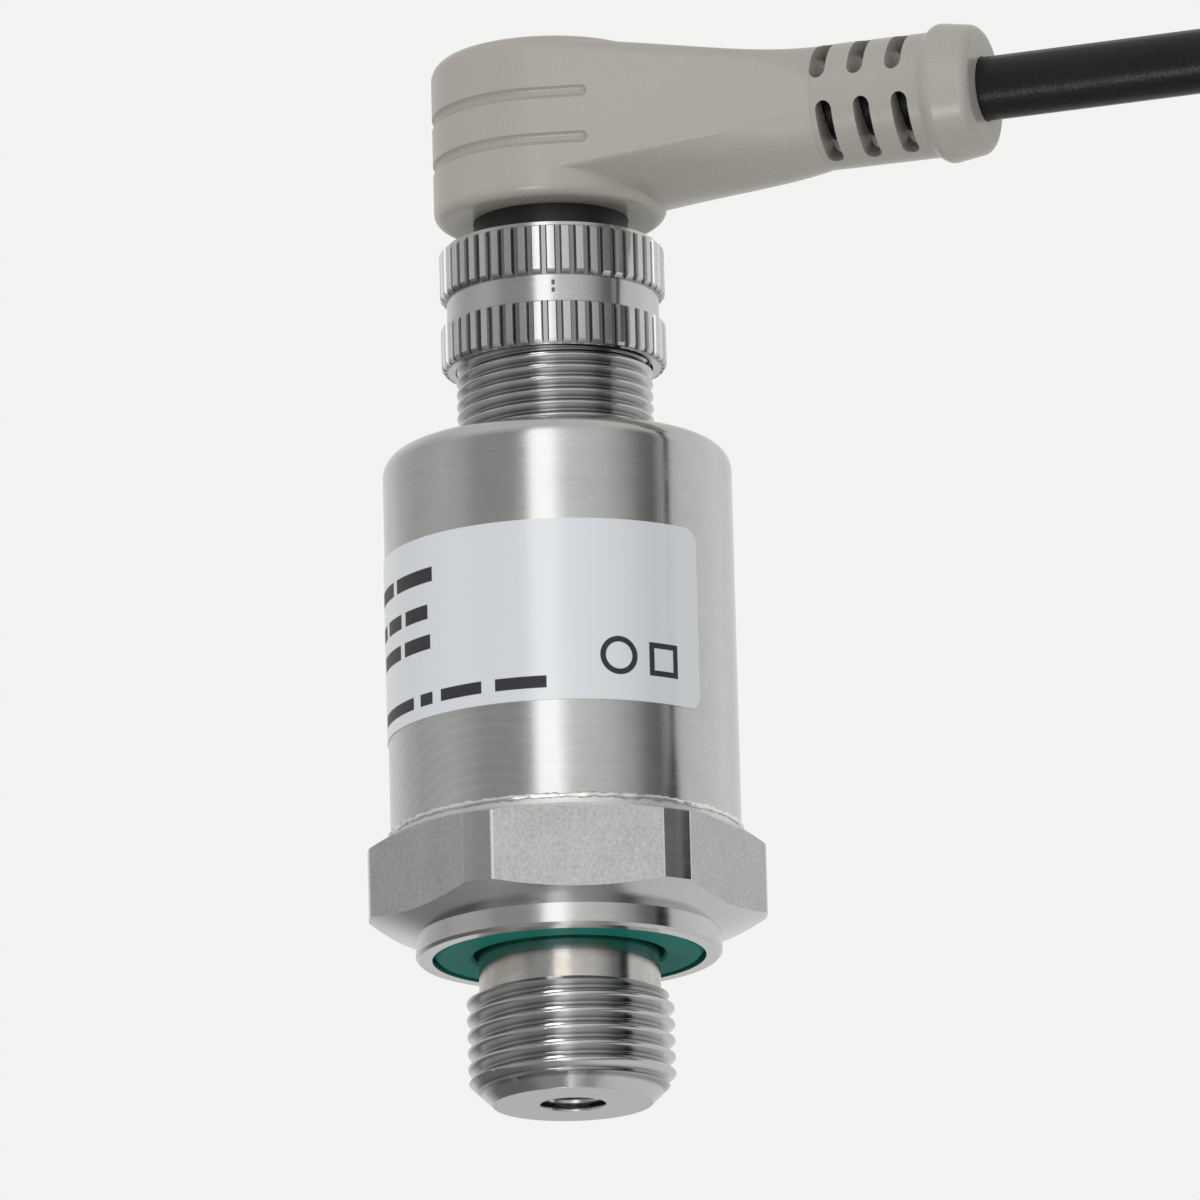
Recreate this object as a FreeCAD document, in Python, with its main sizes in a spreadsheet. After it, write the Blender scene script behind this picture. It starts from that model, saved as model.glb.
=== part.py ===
"""Pressure transmitter with a threaded pressure port, a round plug socket and a right-angle plug on a lead.

Frame: millimetres. The origin is the middle of the sealing face under the flange, +Z runs up the axis to the
plug, and +X runs along the plug's arm to where the lead leaves it.
"""

import FreeCAD, Part

import math
import os
import Sketcher
from types import SimpleNamespace

Vector = FreeCAD.Vector
Placement = FreeCAD.Placement
Rotation = FreeCAD.Rotation

# Lengths in millimetres and angles in degrees.
driving_sizes = {
    # pressure port and flange
    "spigot_length": 12.0,
    "process_thread_diameter": 16.66,
    "spigot_end_face_diameter": 12.8,
    "spigot_chamfer_height": 1.85,
    "relief_neck_diameter": 14.6,
    "relief_neck_length": 3.05,
    "relief_neck_run_out": 0.5,
    "port_mouth_diameter": 5.3,
    "port_mouth_depth": 6.5,
    "port_bore_diameter": 3.0,
    "flange_diameter": 24.6,
    "flange_thickness": 1.8,
    "flange_edge_chamfer": 0.25,
    "seal_groove_diameter": 22.0,
    "seal_groove_depth": 1.5,
    # sealing ring under the flange
    "seal_ring_clearance": 0.05,
    "seal_ring_inner_diameter": 15.4,
    "seal_ring_recess": 0.12,
    "seal_ring_bevel": 0.45,
    # hexagon
    "hexagon_height": 7.65,
    "hexagon_across_flats": 28.85,
    "hexagon_bar_diameter": 32.0,
    "hexagon_turn": -7.35,
    "hexagon_under_cone_height": 1.5,
    "hexagon_top_chamfer_height": 0.55,
    # sleeve
    "sleeve_seat_height": 0.6,
    "sleeve_diameter": 28.2,
    "sleeve_length": 31.65,
    "sleeve_wall": 1.0,
    "sleeve_top_thickness": 1.5,
    "sleeve_shoulder_radius": 1.8,
    "sleeve_fit_clearance": 0.05,
    "sleeve_register_height": 2.3,
    # type label
    "label_height": 14.85,
    "label_above_seat": 7.9,
    "label_thickness": 0.1,
    "label_wrap_angle": 225.0,
    "label_end_angle": -20.3,
    "label_corner_radius": 1.2,
    # measuring cell and gauge
    "cell_chamber_diameter": 19.0,
    "cell_chamber_floor": 5.0,
    "cell_base_thickness": 2.5,
    "cell_body_diameter": 13.0,
    "cell_neck_diameter": 11.0,
    "cell_neck_height": 1.0,
    "cell_clearance": 0.05,
    "cell_diaphragm_thickness": 0.5,
    "cell_diaphragm_diameter": 6.0,
    "cell_pocket_depth": 1.0,
    "gauge_diameter": 5.0,
    "gauge_thickness": 0.15,
    "cell_seal_ring_diameter": 8.8,
    "cell_seal_section": 1.2,
    "cell_seal_clearance": 0.05,
    # boards
    "gauge_board_diameter": 21.0,
    "gauge_board_thickness": 1.0,
    "carrier_ring_height": 2.0,
    "carrier_ring_wall": 4.0,
    "carrier_clearance": 0.2,
    "carrier_post_thickness": 2.0,
    "carrier_post_width": 6.0,
    "carrier_groove_depth": 0.8,
    "board_thickness": 1.0,
    "board_clearance": 0.05,
    "board_headroom": 0.5,
    "component_grid": 0.1,
    "flex_width": 4.0,
    "flex_thickness": 0.2,
    "flex_reach": 5.6,
    "flex_rise": 5.0,
    # connector spigot
    "plug_thread_diameter": 15.9,
    "connector_length": 13.8,
    "connector_end_chamfer": 0.5,
    "connector_wall": 1.45,
    "connector_flange_overhang": 2.55,
    "connector_flange_thickness": 2.4,
    "connector_seat_clearance": 0.05,
    "connector_seal_offset": 1.15,
    "connector_seal_section": 0.9,
    "pin_carrier_thickness": 6.0,
    "pin_carrier_clearance": 0.03,
    "pin_carrier_gap": 1.0,
    # contacts
    "contact_circle_diameter": 7.0,
    "contact_spacing_angle": 60.0,
    "pin_diameter": 1.0,
    "pin_rise": 7.0,
    "pin_tail": 1.0,
    "pin_running_clearance": 0.05,
    "socket_wall": 0.35,
    "socket_recess": 0.2,
    "socket_bore_spare": 0.6,
    "socket_tail": 0.6,
    # plug insert and nut
    "nut_gap": 7.0,
    "nut_height": 10.2,
    "nut_band_wall": 0.6,
    "nut_tooth_height": 0.5,
    "nut_teeth": 48,
    "nut_tooth_depth": 0.38,
    "nut_tooth_overcut": 0.2,
    "nut_tooth_gap_top": 0.76,
    "nut_tooth_gap_root": 0.34,
    "nut_lower_knurl": 3.6,
    "nut_band": 2.2,
    "nut_edge_chamfer": 0.35,
    "nut_rim": 0.3,
    "nut_lower_rim": 0.1,
    "nut_top_wall": 1.5,
    "nut_running_clearance": 0.05,
    "insert_clearance": 0.25,
    "insert_flange_clearance": 0.5,
    "insert_depth_in_socket": 8.0,
    "insert_height_in_head": 3.9,
    "insert_running_clearance": 0.1,
    "face_seal_thickness": 0.6,
    "face_seal_clearance": 0.05,
    "face_seal_bore_clearance": 0.2,
    # plug housing
    "head_gap": 2.2,
    "head_diameter": 18.9,
    "head_height": 13.5,
    "head_top_radius": 1.5,
    "head_bottom_radius": 1.0,
    "head_chamber_height": 10.4,
    "groove_width": 1.0,
    "groove_depth": 0.4,
    "groove_upper_drop": 5.15,
    "groove_lower_drop": 9.0,
    "groove_reach": 5.8,
    "arm_axis_height": 6.9,
    "arm_diameter": 10.15,
    "arm_round_start": 24.0,
    "arm_length": 33.1,
    "arm_sections": 5,
    "arm_inset": 0.02,
    "arm_low_rise": 0.06,
    "arm_low_slope": 0.064,
    "arm_edge_rise": 1.8,
    "arm_edge_slope": 0.17,
    "arm_edge_radius": 1.0,
    "arm_top_drop": 0.05,
    "arm_top_slope": 0.131,
    "arm_neck_step": 0.06,
    "arm_neck_flat": 0.05,
    "collar_length": 4.2,
    "collar_diameter": 11.4,
    "collar_end_diameter": 10.4,
    "collar_slope": 0.9,
    "collar_edge_radius": 0.9,
    "slot_width": 1.35,
    "slot_length": 5.6,
    "slot_first": 25.1,
    "slot_pitch": 3.2,
    "slot_count": 3,
    "slot_lower_angle": -42.5,
    "slot_upper_angle": 47.0,
    "slot_upper_shift": 0.5,
    # lead
    "lead_diameter": 5.2,
    "lead_clearance": 0.05,
    "lead_inside_start": 5.6,
    "core_diameter": 1.0,
    "core_circle_diameter": 2.6,
    "core_count": 5,
    "core_straight": 1.0,
    "core_bend_radius": 0.9,
    # put-away coil of the lead
    "coil_mean_diameter": 57.0,
    "coil_turns_wide": 4,
    "coil_turns_deep": 3,
    "coil_drop": 16.0,
    "coil_corner": 1.5,
    "coil_gap": 0.3,
    "tie_width": 6.0,
    "tie_thickness": 0.8,
    "tie_clearance": 0.2,
    "tail_length": 9.0,
    "end_core_length": 12.0,
    "ferrule_length": 6.0,
    "ferrule_wall": 0.25,
}

doc = FreeCAD.newDocument("PressureTransmitter")
sheet = doc.addObject("Spreadsheet::Sheet", "Sizes")
for row, (name, number) in enumerate(driving_sizes.items(), start=1):
    sheet.set(f"A{row}", name)
    sheet.set(f"B{row}", str(number))
    sheet.setAlias(f"B{row}", name)
doc.recompute()


class Size:
    """A number, together with the expression that works it out from the sheet."""

    def __init__(self, value, text):
        self.value = value
        self.text = text

    def __add__(self, other):
        other = as_size(other)
        return Size(self.value + other.value, f"({self.text} + {other.text})")

    def __sub__(self, other):
        other = as_size(other)
        return Size(self.value - other.value, f"({self.text} - {other.text})")

    def __mul__(self, other):
        other = as_size(other)
        return Size(self.value * other.value, f"({self.text} * {other.text})")

    def __truediv__(self, other):
        other = as_size(other)
        return Size(self.value / other.value, f"({self.text} / {other.text})")

    def __radd__(self, other):
        return as_size(other) + self

    def __rsub__(self, other):
        return as_size(other) - self

    def __rmul__(self, other):
        return as_size(other) * self

    def __neg__(self):
        return as_size(0) - self


def as_size(number):
    if isinstance(number, Size):
        return number
    return Size(number, str(number))


def cosine(angle):
    return Size(math.cos(math.radians(angle.value)), f"cos({angle.text})")


def sine(angle):
    return Size(math.sin(math.radians(angle.value)), f"sin({angle.text})")


def root(square):
    return Size(math.sqrt(square.value), f"sqrt({square.text})")


def arctangent(slope):
    return Size(math.degrees(math.atan(slope.value)), f"(atan({slope.text}) / 1 deg)")


d = SimpleNamespace(
    **{name: Size(sheet.get(name), f"Sizes.{name}") for name in driving_sizes}
)

# Heights above the sealing face.
spigot_tip = -d.spigot_length
hexagon_top = d.flange_thickness + d.hexagon_height
sleeve_seat = hexagon_top + d.sleeve_seat_height
sleeve_top = hexagon_top + d.sleeve_seat_height + d.sleeve_length
sleeve_ceiling = sleeve_top - d.sleeve_top_thickness
register_top = sleeve_seat + d.sleeve_register_height
cell_base_top = d.cell_chamber_floor + d.cell_base_thickness
gauge_board_top = register_top + d.gauge_board_thickness
diaphragm_top = register_top + d.cell_neck_height
carrier_ring_top = gauge_board_top + d.carrier_ring_height
connector_flange_bottom = sleeve_ceiling - d.connector_flange_thickness
connector_top = sleeve_top + d.connector_length
nut_bottom = sleeve_top + d.nut_gap
nut_top = nut_bottom + d.nut_height
insert_bottom = connector_top - d.insert_depth_in_socket
insert_flange_bottom = connector_top + d.face_seal_clearance + d.face_seal_thickness
insert_flange_top = nut_top - d.nut_top_wall - d.insert_running_clearance
head_bottom = nut_top + d.head_gap
head_top = head_bottom + d.head_height
insert_top = head_bottom + d.insert_height_in_head
arm_axis = head_bottom + d.arm_axis_height
pin_carrier_top = insert_bottom - d.pin_carrier_gap
pin_carrier_bottom = pin_carrier_top - d.pin_carrier_thickness
pin_top = pin_carrier_top + d.pin_rise
pin_bottom = pin_carrier_bottom - d.pin_tail
collar_end = d.arm_length + d.collar_length
sleeve_radius = d.sleeve_diameter / 2
sleeve_inner_radius = sleeve_radius - d.sleeve_wall
thread_radius = d.plug_thread_diameter / 2
connector_bore = thread_radius - d.connector_wall
insert_radius = connector_bore - d.insert_clearance
nut_bore = thread_radius + d.nut_running_clearance
nut_band_radius = nut_bore + d.nut_band_wall
nut_tip_radius = nut_band_radius + d.nut_tooth_height
insert_flange_radius = nut_bore - d.insert_flange_clearance

pieces = []


def keep(piece, label):
    """Gives a finished piece its label and puts it on the list of pieces to write."""
    piece.Label = label
    pieces.append(piece)
    return piece


def bind(thing, **sizes):
    for prop, size in sizes.items():
        thing.setExpression(prop, as_size(size).text)
    return thing


def place(thing, x=0, y=0, z=0):
    for axis, size in (("x", x), ("y", y), ("z", z)):
        thing.setExpression(f"Placement.Base.{axis}", as_size(size).text)
    return thing


def origin_plane(body, role):
    return next(part for part in body.Origin.OriginFeatures if part.Role == role)


def new_sketch(body, name, role="XZ_Plane"):
    sketch = body.newObject("Sketcher::SketchObject", name)
    sketch.AttachmentSupport = [(origin_plane(body, role), "")]
    sketch.MapMode = "FlatFace"
    return sketch


def set_distance(sketch, direction, geometry, point, size, name):
    """Ties one coordinate of a point of the sketch to a size."""
    size = as_size(size)
    if abs(size.value) < 1e-9:
        axis = -2 if direction == "DistanceX" else -1
        sketch.addConstraint(Sketcher.Constraint("PointOnObject", geometry, point, axis))
        return
    index = sketch.addConstraint(
        Sketcher.Constraint(direction, -1, 1, geometry, point, size.value)
    )
    sketch.renameConstraint(index, name)
    sketch.setExpression(f"Constraints.{name}", size.text)


def add_outline(sketch, corners):
    """Adds a closed outline of straight lines whose corners are pairs of sizes."""
    corners = [(as_size(x), as_size(y)) for x, y in corners]
    spots = [Vector(x.value, y.value, 0) for x, y in corners]
    first = sketch.GeometryCount
    count = len(spots)
    for i in range(count):
        sketch.addGeometry(Part.LineSegment(spots[i], spots[(i + 1) % count]))
    for i in range(count):
        sketch.addConstraint(
            Sketcher.Constraint("Coincident", first + i, 2, first + (i + 1) % count, 1)
        )
    for i, (x, y) in enumerate(corners):
        set_distance(sketch, "DistanceX", first + i, 1, x, f"across_{first + i}")
        set_distance(sketch, "DistanceY", first + i, 1, y, f"along_{first + i}")


def turned(name, corners):
    """A body turned about Z from an outline of (radius, height) corners."""
    body = doc.addObject("PartDesign::Body", name)
    sketch = new_sketch(body, name + "_outline")
    add_outline(sketch, corners)
    turning = body.newObject("PartDesign::Revolution", name + "_turning")
    turning.Profile = sketch
    turning.ReferenceAxis = (sketch, ["V_Axis"])
    turning.Angle = 360
    sketch.Visibility = False
    return body


def edges_of(feature, test):
    """The names of the edges of a feature that pass the test."""
    return [
        f"Edge{i}" for i, edge in enumerate(feature.Shape.Edges, start=1) if test(edge)
    ]


def is_ring(edge, radius, height):
    """Whether an edge is a circle about Z with this radius and height."""
    curve = edge.Curve
    return (
        isinstance(curve, Part.Circle)
        and abs(curve.Radius - radius.value) < 1e-4
        and abs(curve.Center.z - height.value) < 1e-4
    )


def rounded(body, radius, test, name):
    """Rounds the edges of the body's last feature that pass the test."""
    doc.recompute()
    base = body.Tip
    fillet = body.newObject("PartDesign::Fillet", name)
    fillet.Base = (base, edges_of(base, test))
    bind(fillet, Radius=radius)
    return fillet


def box(name, length, width, height, x, y, z):
    """A box that stands at height z, with its middle at x and y."""
    block = doc.addObject("Part::Box", name)
    length, width = as_size(length), as_size(width)
    bind(block, Length=length, Width=width, Height=height)
    return place(block, x - length / 2, y - width / 2, z)


def cylinder(name, radius, height, x=0, y=0, z=0):
    rod = doc.addObject("Part::Cylinder", name)
    bind(rod, Radius=radius, Height=height)
    return place(rod, x, y, z)


def cut(name, base, tools):
    if len(tools) > 1:
        group = doc.addObject("Part::MultiFuse", name + "_tools")
        group.Shapes = tools
        tools = [group]
    result = doc.addObject("Part::Cut", name)
    result.Base = base
    result.Tool = tools[0]
    return result


def process_fitting():
    """Spigot, flange and hexagon, turned from one bar and milled to a hexagon."""
    spigot = d.process_thread_diameter / 2
    neck = d.relief_neck_diameter / 2
    mouth = d.port_mouth_diameter / 2
    bore = d.port_bore_diameter / 2
    flange = d.flange_diameter / 2
    bar = d.hexagon_bar_diameter / 2
    flats = d.hexagon_across_flats / 2
    chamber = d.cell_chamber_diameter / 2
    seal_middle = d.cell_seal_ring_diameter / 2
    seal_half = d.cell_seal_section / 2 + d.cell_seal_clearance
    seal_floor = d.cell_chamber_floor - 2 * seal_half
    neck_end = -d.relief_neck_length
    body = turned(
        "fitting",
        [
            (mouth, spigot_tip),
            (d.spigot_end_face_diameter / 2, spigot_tip),
            (spigot, spigot_tip + d.spigot_chamfer_height),
            (spigot, neck_end - d.relief_neck_run_out),
            (neck, neck_end),
            (neck, d.seal_groove_depth),
            (d.seal_groove_diameter / 2, d.seal_groove_depth),
            (d.seal_groove_diameter / 2, 0),
            (flange - d.flange_edge_chamfer, 0),
            (flange, d.flange_edge_chamfer),
            (flange, d.flange_thickness),
            (bar, d.flange_thickness + d.hexagon_under_cone_height),
            (bar, hexagon_top - d.hexagon_top_chamfer_height),
            (flats, hexagon_top),
            (sleeve_radius, hexagon_top),
            (sleeve_radius, sleeve_seat),
            (sleeve_inner_radius - d.sleeve_fit_clearance, sleeve_seat),
            (sleeve_inner_radius - d.sleeve_fit_clearance, register_top),
            (chamber, register_top),
            (chamber, d.cell_chamber_floor),
            (seal_middle + seal_half, d.cell_chamber_floor),
            (seal_middle + seal_half, seal_floor),
            (seal_middle - seal_half, seal_floor),
            (seal_middle - seal_half, d.cell_chamber_floor),
            (bore, d.cell_chamber_floor),
            (bore, spigot_tip + d.port_mouth_depth + (mouth - bore)),
            (mouth, spigot_tip + d.port_mouth_depth),
        ],
    )
    sketch = new_sketch(body, "hexagon_outline", "XY_Plane")
    corner = flats / cosine(as_size(30))
    angles = [d.hexagon_turn + 30 + 60 * i for i in range(6)]
    add_outline(sketch, [(corner * cosine(a), corner * sine(a)) for a in angles])
    sketch.addGeometry(Part.Circle(Vector(0, 0, 0), Vector(0, 0, 1), bar.value + 3))
    ring = sketch.GeometryCount - 1
    sketch.addConstraint(Sketcher.Constraint("Coincident", ring, 3, -1, 1))
    index = sketch.addConstraint(Sketcher.Constraint("Radius", ring, bar.value + 3))
    sketch.setExpression(f"Constraints[{index}]", (bar + 3).text)
    flats_cut = body.newObject("PartDesign::Pocket", "flats_cut")
    flats_cut.Profile = sketch
    flats_cut.Type = 1
    flats_cut.Midplane = True
    sketch.Visibility = False
    keep(body, "process_fitting")


def seal_ring():
    """Sealing ring in the groove under the flange, with a bevel on its outer edge."""
    outer = d.seal_groove_diameter / 2 - d.seal_ring_clearance
    inner = d.seal_ring_inner_diameter / 2
    low = d.seal_ring_recess
    bevel = d.seal_ring_bevel
    body = turned(
        "seal",
        [
            (inner, low + bevel / 2),
            (inner + bevel / 2, low),
            (outer - bevel, low),
            (outer, low + bevel),
            (outer, d.seal_groove_depth),
            (inner, d.seal_groove_depth),
        ],
    )
    keep(body, "seal_ring")


def ring_seal(label, ring_diameter, section, middle_height):
    """An O-ring about Z, given the diameter of its centre line."""
    ring = doc.addObject("Part::Torus", label)
    bind(ring, Radius1=ring_diameter / 2, Radius2=section / 2)
    place(ring, z=middle_height)
    keep(ring, label)


def measuring_cell():
    """Pressure cell: a base on the seal, a blind bore and a thin diaphragm on top."""
    base = d.cell_chamber_diameter / 2 - d.cell_clearance
    bore = d.port_bore_diameter / 2
    pocket = d.cell_diaphragm_diameter / 2
    ceiling = diaphragm_top - d.cell_diaphragm_thickness
    body = turned(
        "cell",
        [
            (bore, d.cell_chamber_floor),
            (base, d.cell_chamber_floor),
            (base, cell_base_top),
            (d.cell_body_diameter / 2, cell_base_top),
            (d.cell_body_diameter / 2, register_top),
            (d.cell_neck_diameter / 2, register_top),
            (d.cell_neck_diameter / 2, diaphragm_top),
            (0, diaphragm_top),
            (0, ceiling),
            (pocket, ceiling),
            (pocket, ceiling - d.cell_pocket_depth),
            (bore, ceiling - d.cell_pocket_depth - (pocket - bore)),
        ],
    )
    keep(body, "measuring_cell")
    gauge = cylinder("gauge", d.gauge_diameter / 2, d.gauge_thickness, z=diaphragm_top)
    keep(gauge, "strain_gauge")


def boards():
    """Ring board round the cell, a moulded carrier on it, and the upright board in the carrier's grooves."""
    hole = d.cell_neck_diameter / 2 + d.board_clearance
    rim = d.gauge_board_diameter / 2
    ring = turned(
        "ring_board",
        [(hole, register_top), (rim, register_top), (rim, gauge_board_top), (hole, gauge_board_top)],
    )
    keep(ring, "gauge_board")

    outer = sleeve_inner_radius - d.carrier_clearance
    inner = outer - d.carrier_ring_wall
    post_top = connector_flange_bottom - d.carrier_clearance
    post_inner = outer - d.carrier_post_thickness
    board_half = outer - d.carrier_post_thickness + d.carrier_groove_depth
    tube = turned(
        "carrier",
        [
            (inner, gauge_board_top),
            (outer, gauge_board_top),
            (outer, post_top),
            (post_inner, post_top),
            (post_inner, carrier_ring_top),
            (inner, carrier_ring_top),
        ],
    )
    window_height = post_top - carrier_ring_top + 1
    half = d.carrier_post_width / 2
    front = box("front_window", outer * 3, outer, window_height, 0, 0, carrier_ring_top)
    place(front, -outer * 1.5, half, carrier_ring_top)
    back = box("back_window", outer * 3, outer, window_height, 0, 0, carrier_ring_top)
    place(back, -outer * 1.5, -half - outer, carrier_ring_top)
    groove = box(
        "board_groove",
        (board_half + d.board_clearance) * 2,
        d.board_thickness + 2 * d.board_clearance,
        window_height,
        0,
        0,
        carrier_ring_top,
    )
    keep(cut("carrier_frame", tube, [front, back, groove]), "board_carrier")

    board_top = post_top - d.board_headroom
    board = box(
        "upright_board", board_half * 2, d.board_thickness, board_top - carrier_ring_top,
        0, 0, carrier_ring_top,
    )
    keep(board, "main_board")
    board_components(carrier_ring_top)


def board_components(foot):
    """Chips, capacitors and a coil on both faces of the upright board, one group of separate solids."""
    face = d.board_thickness / 2
    parts = [
        # x, height above the board's foot, width, height and depth in grid steps, side
        (-45, 100, 50, 50, 12, 1),
        (40, 90, 40, 60, 15, 1),
        (45, 25, 35, 25, 18, 1),
        (-60, 30, 16, 32, 10, 1),
        (0, 170, 70, 22, 25, -1),
        (-50, 45, 60, 60, 13, -1),
        (45, 50, 20, 32, 10, -1),
        (45, 100, 30, 30, 22, -1),
    ]
    blocks = []
    for i, (*steps, side) in enumerate(parts, start=1):
        x, up, width, height, depth = [d.component_grid * step for step in steps]
        middle = side * (face + depth / 2)
        block = box(f"board_part_{i}", width, depth, height, x, middle, foot + up)
        blocks.append(block)
    group = doc.addObject("Part::Compound", "board_parts")
    group.Links = blocks
    keep(group, "board_components")


def flex_lead():
    """Flat lead that rises from the ring board and bends over to the upright board."""
    face = d.board_thickness / 2
    body = doc.addObject("PartDesign::Body", "flex")
    sketch = new_sketch(body, "flex_outline", "YZ_Plane")
    reach = d.flex_reach
    rise = gauge_board_top + d.flex_rise
    thick = d.flex_thickness
    add_outline(
        sketch,
        [
            (reach, gauge_board_top),
            (reach + thick, gauge_board_top),
            (reach + thick, rise + thick),
            (face, rise + thick),
            (face, rise),
            (reach, rise),
        ],
    )
    pad = body.newObject("PartDesign::Pad", "flex_width")
    pad.Profile = sketch
    pad.Midplane = True
    bind(pad, Length=d.flex_width)
    sketch.Visibility = False
    keep(body, "flex_lead")


def housing_sleeve():
    """Thin tube welded on the hexagon's seat, closed on top round the connector."""
    opening = thread_radius + d.connector_seat_clearance
    body = turned(
        "sleeve",
        [
            (sleeve_inner_radius, sleeve_seat),
            (sleeve_radius, sleeve_seat),
            (sleeve_radius, sleeve_top),
            (opening, sleeve_top),
            (opening, sleeve_ceiling),
            (sleeve_inner_radius, sleeve_ceiling),
        ],
    )
    rounded(
        body,
        d.sleeve_shoulder_radius,
        lambda edge: is_ring(edge, sleeve_radius, sleeve_top),
        "shoulder",
    )
    keep(body, "housing_sleeve")


def type_label():
    """Thin label wrapped round the sleeve, with rounded corners."""
    low = sleeve_seat + d.label_above_seat
    outer = cylinder("label_outside", sleeve_radius + d.label_thickness, d.label_height, z=low)
    inner = cylinder("label_inside", sleeve_radius, d.label_height, z=low)
    for sector in (outer, inner):
        bind(sector, Angle=d.label_wrap_angle)
        sector.Placement = Placement(Vector(0, 0, 0), Rotation(Vector(0, 0, 1), 1))
        sector.setExpression(
            "Placement.Rotation.Angle", (d.label_end_angle - d.label_wrap_angle).text
        )
        place(sector, z=low)
    skin = cut("label_skin", outer, [inner])
    doc.recompute()
    corners = [
        (i, d.label_corner_radius.value, d.label_corner_radius.value)
        for i, edge in enumerate(skin.Shape.Edges, start=1)
        if abs(edge.Length - d.label_thickness.value) < 1e-5
    ]
    label = doc.addObject("Part::Fillet", "label_rounded")
    label.Base = skin
    label.Edges = corners
    keep(label, "type_label")


def connector_spigot():
    """Threaded spigot for the plug's nut, with a flange that seats under the sleeve's top."""
    thread = thread_radius
    bore = connector_bore
    flange = thread + d.connector_flange_overhang
    seal_middle = thread + d.connector_seal_offset
    seal_half = d.connector_seal_section / 2 + d.connector_seat_clearance
    groove_floor = sleeve_ceiling - 2 * seal_half
    chamfer = d.connector_end_chamfer
    body = turned(
        "connector",
        [
            (bore, connector_flange_bottom),
            (flange, connector_flange_bottom),
            (flange, sleeve_ceiling),
            (seal_middle + seal_half, sleeve_ceiling),
            (seal_middle + seal_half, groove_floor),
            (seal_middle - seal_half, groove_floor),
            (seal_middle - seal_half, sleeve_ceiling),
            (thread, sleeve_ceiling),
            (thread, connector_top - chamfer),
            (thread - chamfer, connector_top),
            (bore, connector_top),
        ],
    )
    keep(body, "connector_spigot")
    ring_seal(
        "spigot_seal_ring",
        seal_middle * 2,
        d.connector_seal_section,
        sleeve_ceiling - seal_half,
    )


def contact_spots():
    """The angles of the five contacts, spread evenly about +X, as pairs of x and y."""
    circle = d.contact_circle_diameter / 2
    angles = [d.contact_spacing_angle * i for i in (-2, -1, 0, 1, 2)]
    return [(circle * cosine(a), circle * sine(a)) for a in angles]


def pierced(name, body, radius, bottom, top):
    """The body with a hole at each contact, from the bottom height to the top height."""
    drills = [
        cylinder(f"{name}_hole_{i}", radius, top - bottom, x, y, bottom)
        for i, (x, y) in enumerate(contact_spots(), start=1)
    ]
    return cut(name, body, drills)


def pins():
    """Insulator in the spigot's bore, and the five round-ended pins that it holds."""
    disc = turned(
        "insulator",
        [
            (0, pin_carrier_bottom),
            (connector_bore - d.pin_carrier_clearance, pin_carrier_bottom),
            (connector_bore - d.pin_carrier_clearance, pin_carrier_top),
            (0, pin_carrier_top),
        ],
    )
    pin = d.pin_diameter / 2
    holder = pierced("insulator_pierced", disc, pin, pin_carrier_bottom, pin_carrier_top)
    keep(holder, "pin_carrier")
    for i, (x, y) in enumerate(contact_spots(), start=1):
        tip = d.pin_diameter / 4
        body = turned(
            f"pin_{i}",
            [(0, pin_bottom), (pin, pin_bottom), (pin, pin_top - tip), (pin - tip, pin_top), (0, pin_top)],
        )
        place(body, x, y)
        keep(body, f"contact_pin_{i}")


def sockets():
    """Black insert of the plug with its five sockets, and the flat seal under its flange."""
    insert = insert_radius
    flange = insert_flange_radius
    body = turned(
        "insert",
        [
            (0, insert_bottom),
            (insert, insert_bottom),
            (insert, insert_flange_bottom),
            (flange, insert_flange_bottom),
            (flange, insert_flange_top),
            (insert, insert_flange_top),
            (insert, insert_top),
            (0, insert_top),
        ],
    )
    bore = d.pin_diameter / 2 + d.pin_running_clearance
    wall = bore + d.socket_wall
    holder = pierced("insert_pierced", body, wall, insert_bottom, insert_top)
    keep(holder, "contact_carrier")
    bore_top = pin_top + d.socket_bore_spare
    mouth = insert_bottom + d.socket_recess
    tail_top = insert_top + d.socket_tail
    for i, (x, y) in enumerate(contact_spots(), start=1):
        socket = turned(
            f"socket_{i}",
            [
                (bore, mouth),
                (wall, mouth),
                (wall, tail_top),
                (0, tail_top),
                (0, bore_top),
                (bore, bore_top),
            ],
        )
        place(socket, x, y)
        keep(socket, f"socket_contact_{i}")
    seal_bore = insert + d.face_seal_bore_clearance
    seal_bottom = insert_flange_bottom - d.face_seal_thickness
    seal = turned(
        "flat_seal",
        [
            (seal_bore, seal_bottom),
            (flange, seal_bottom),
            (flange, insert_flange_bottom),
            (seal_bore, insert_flange_bottom),
        ],
    )
    keep(seal, "face_seal")


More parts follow.
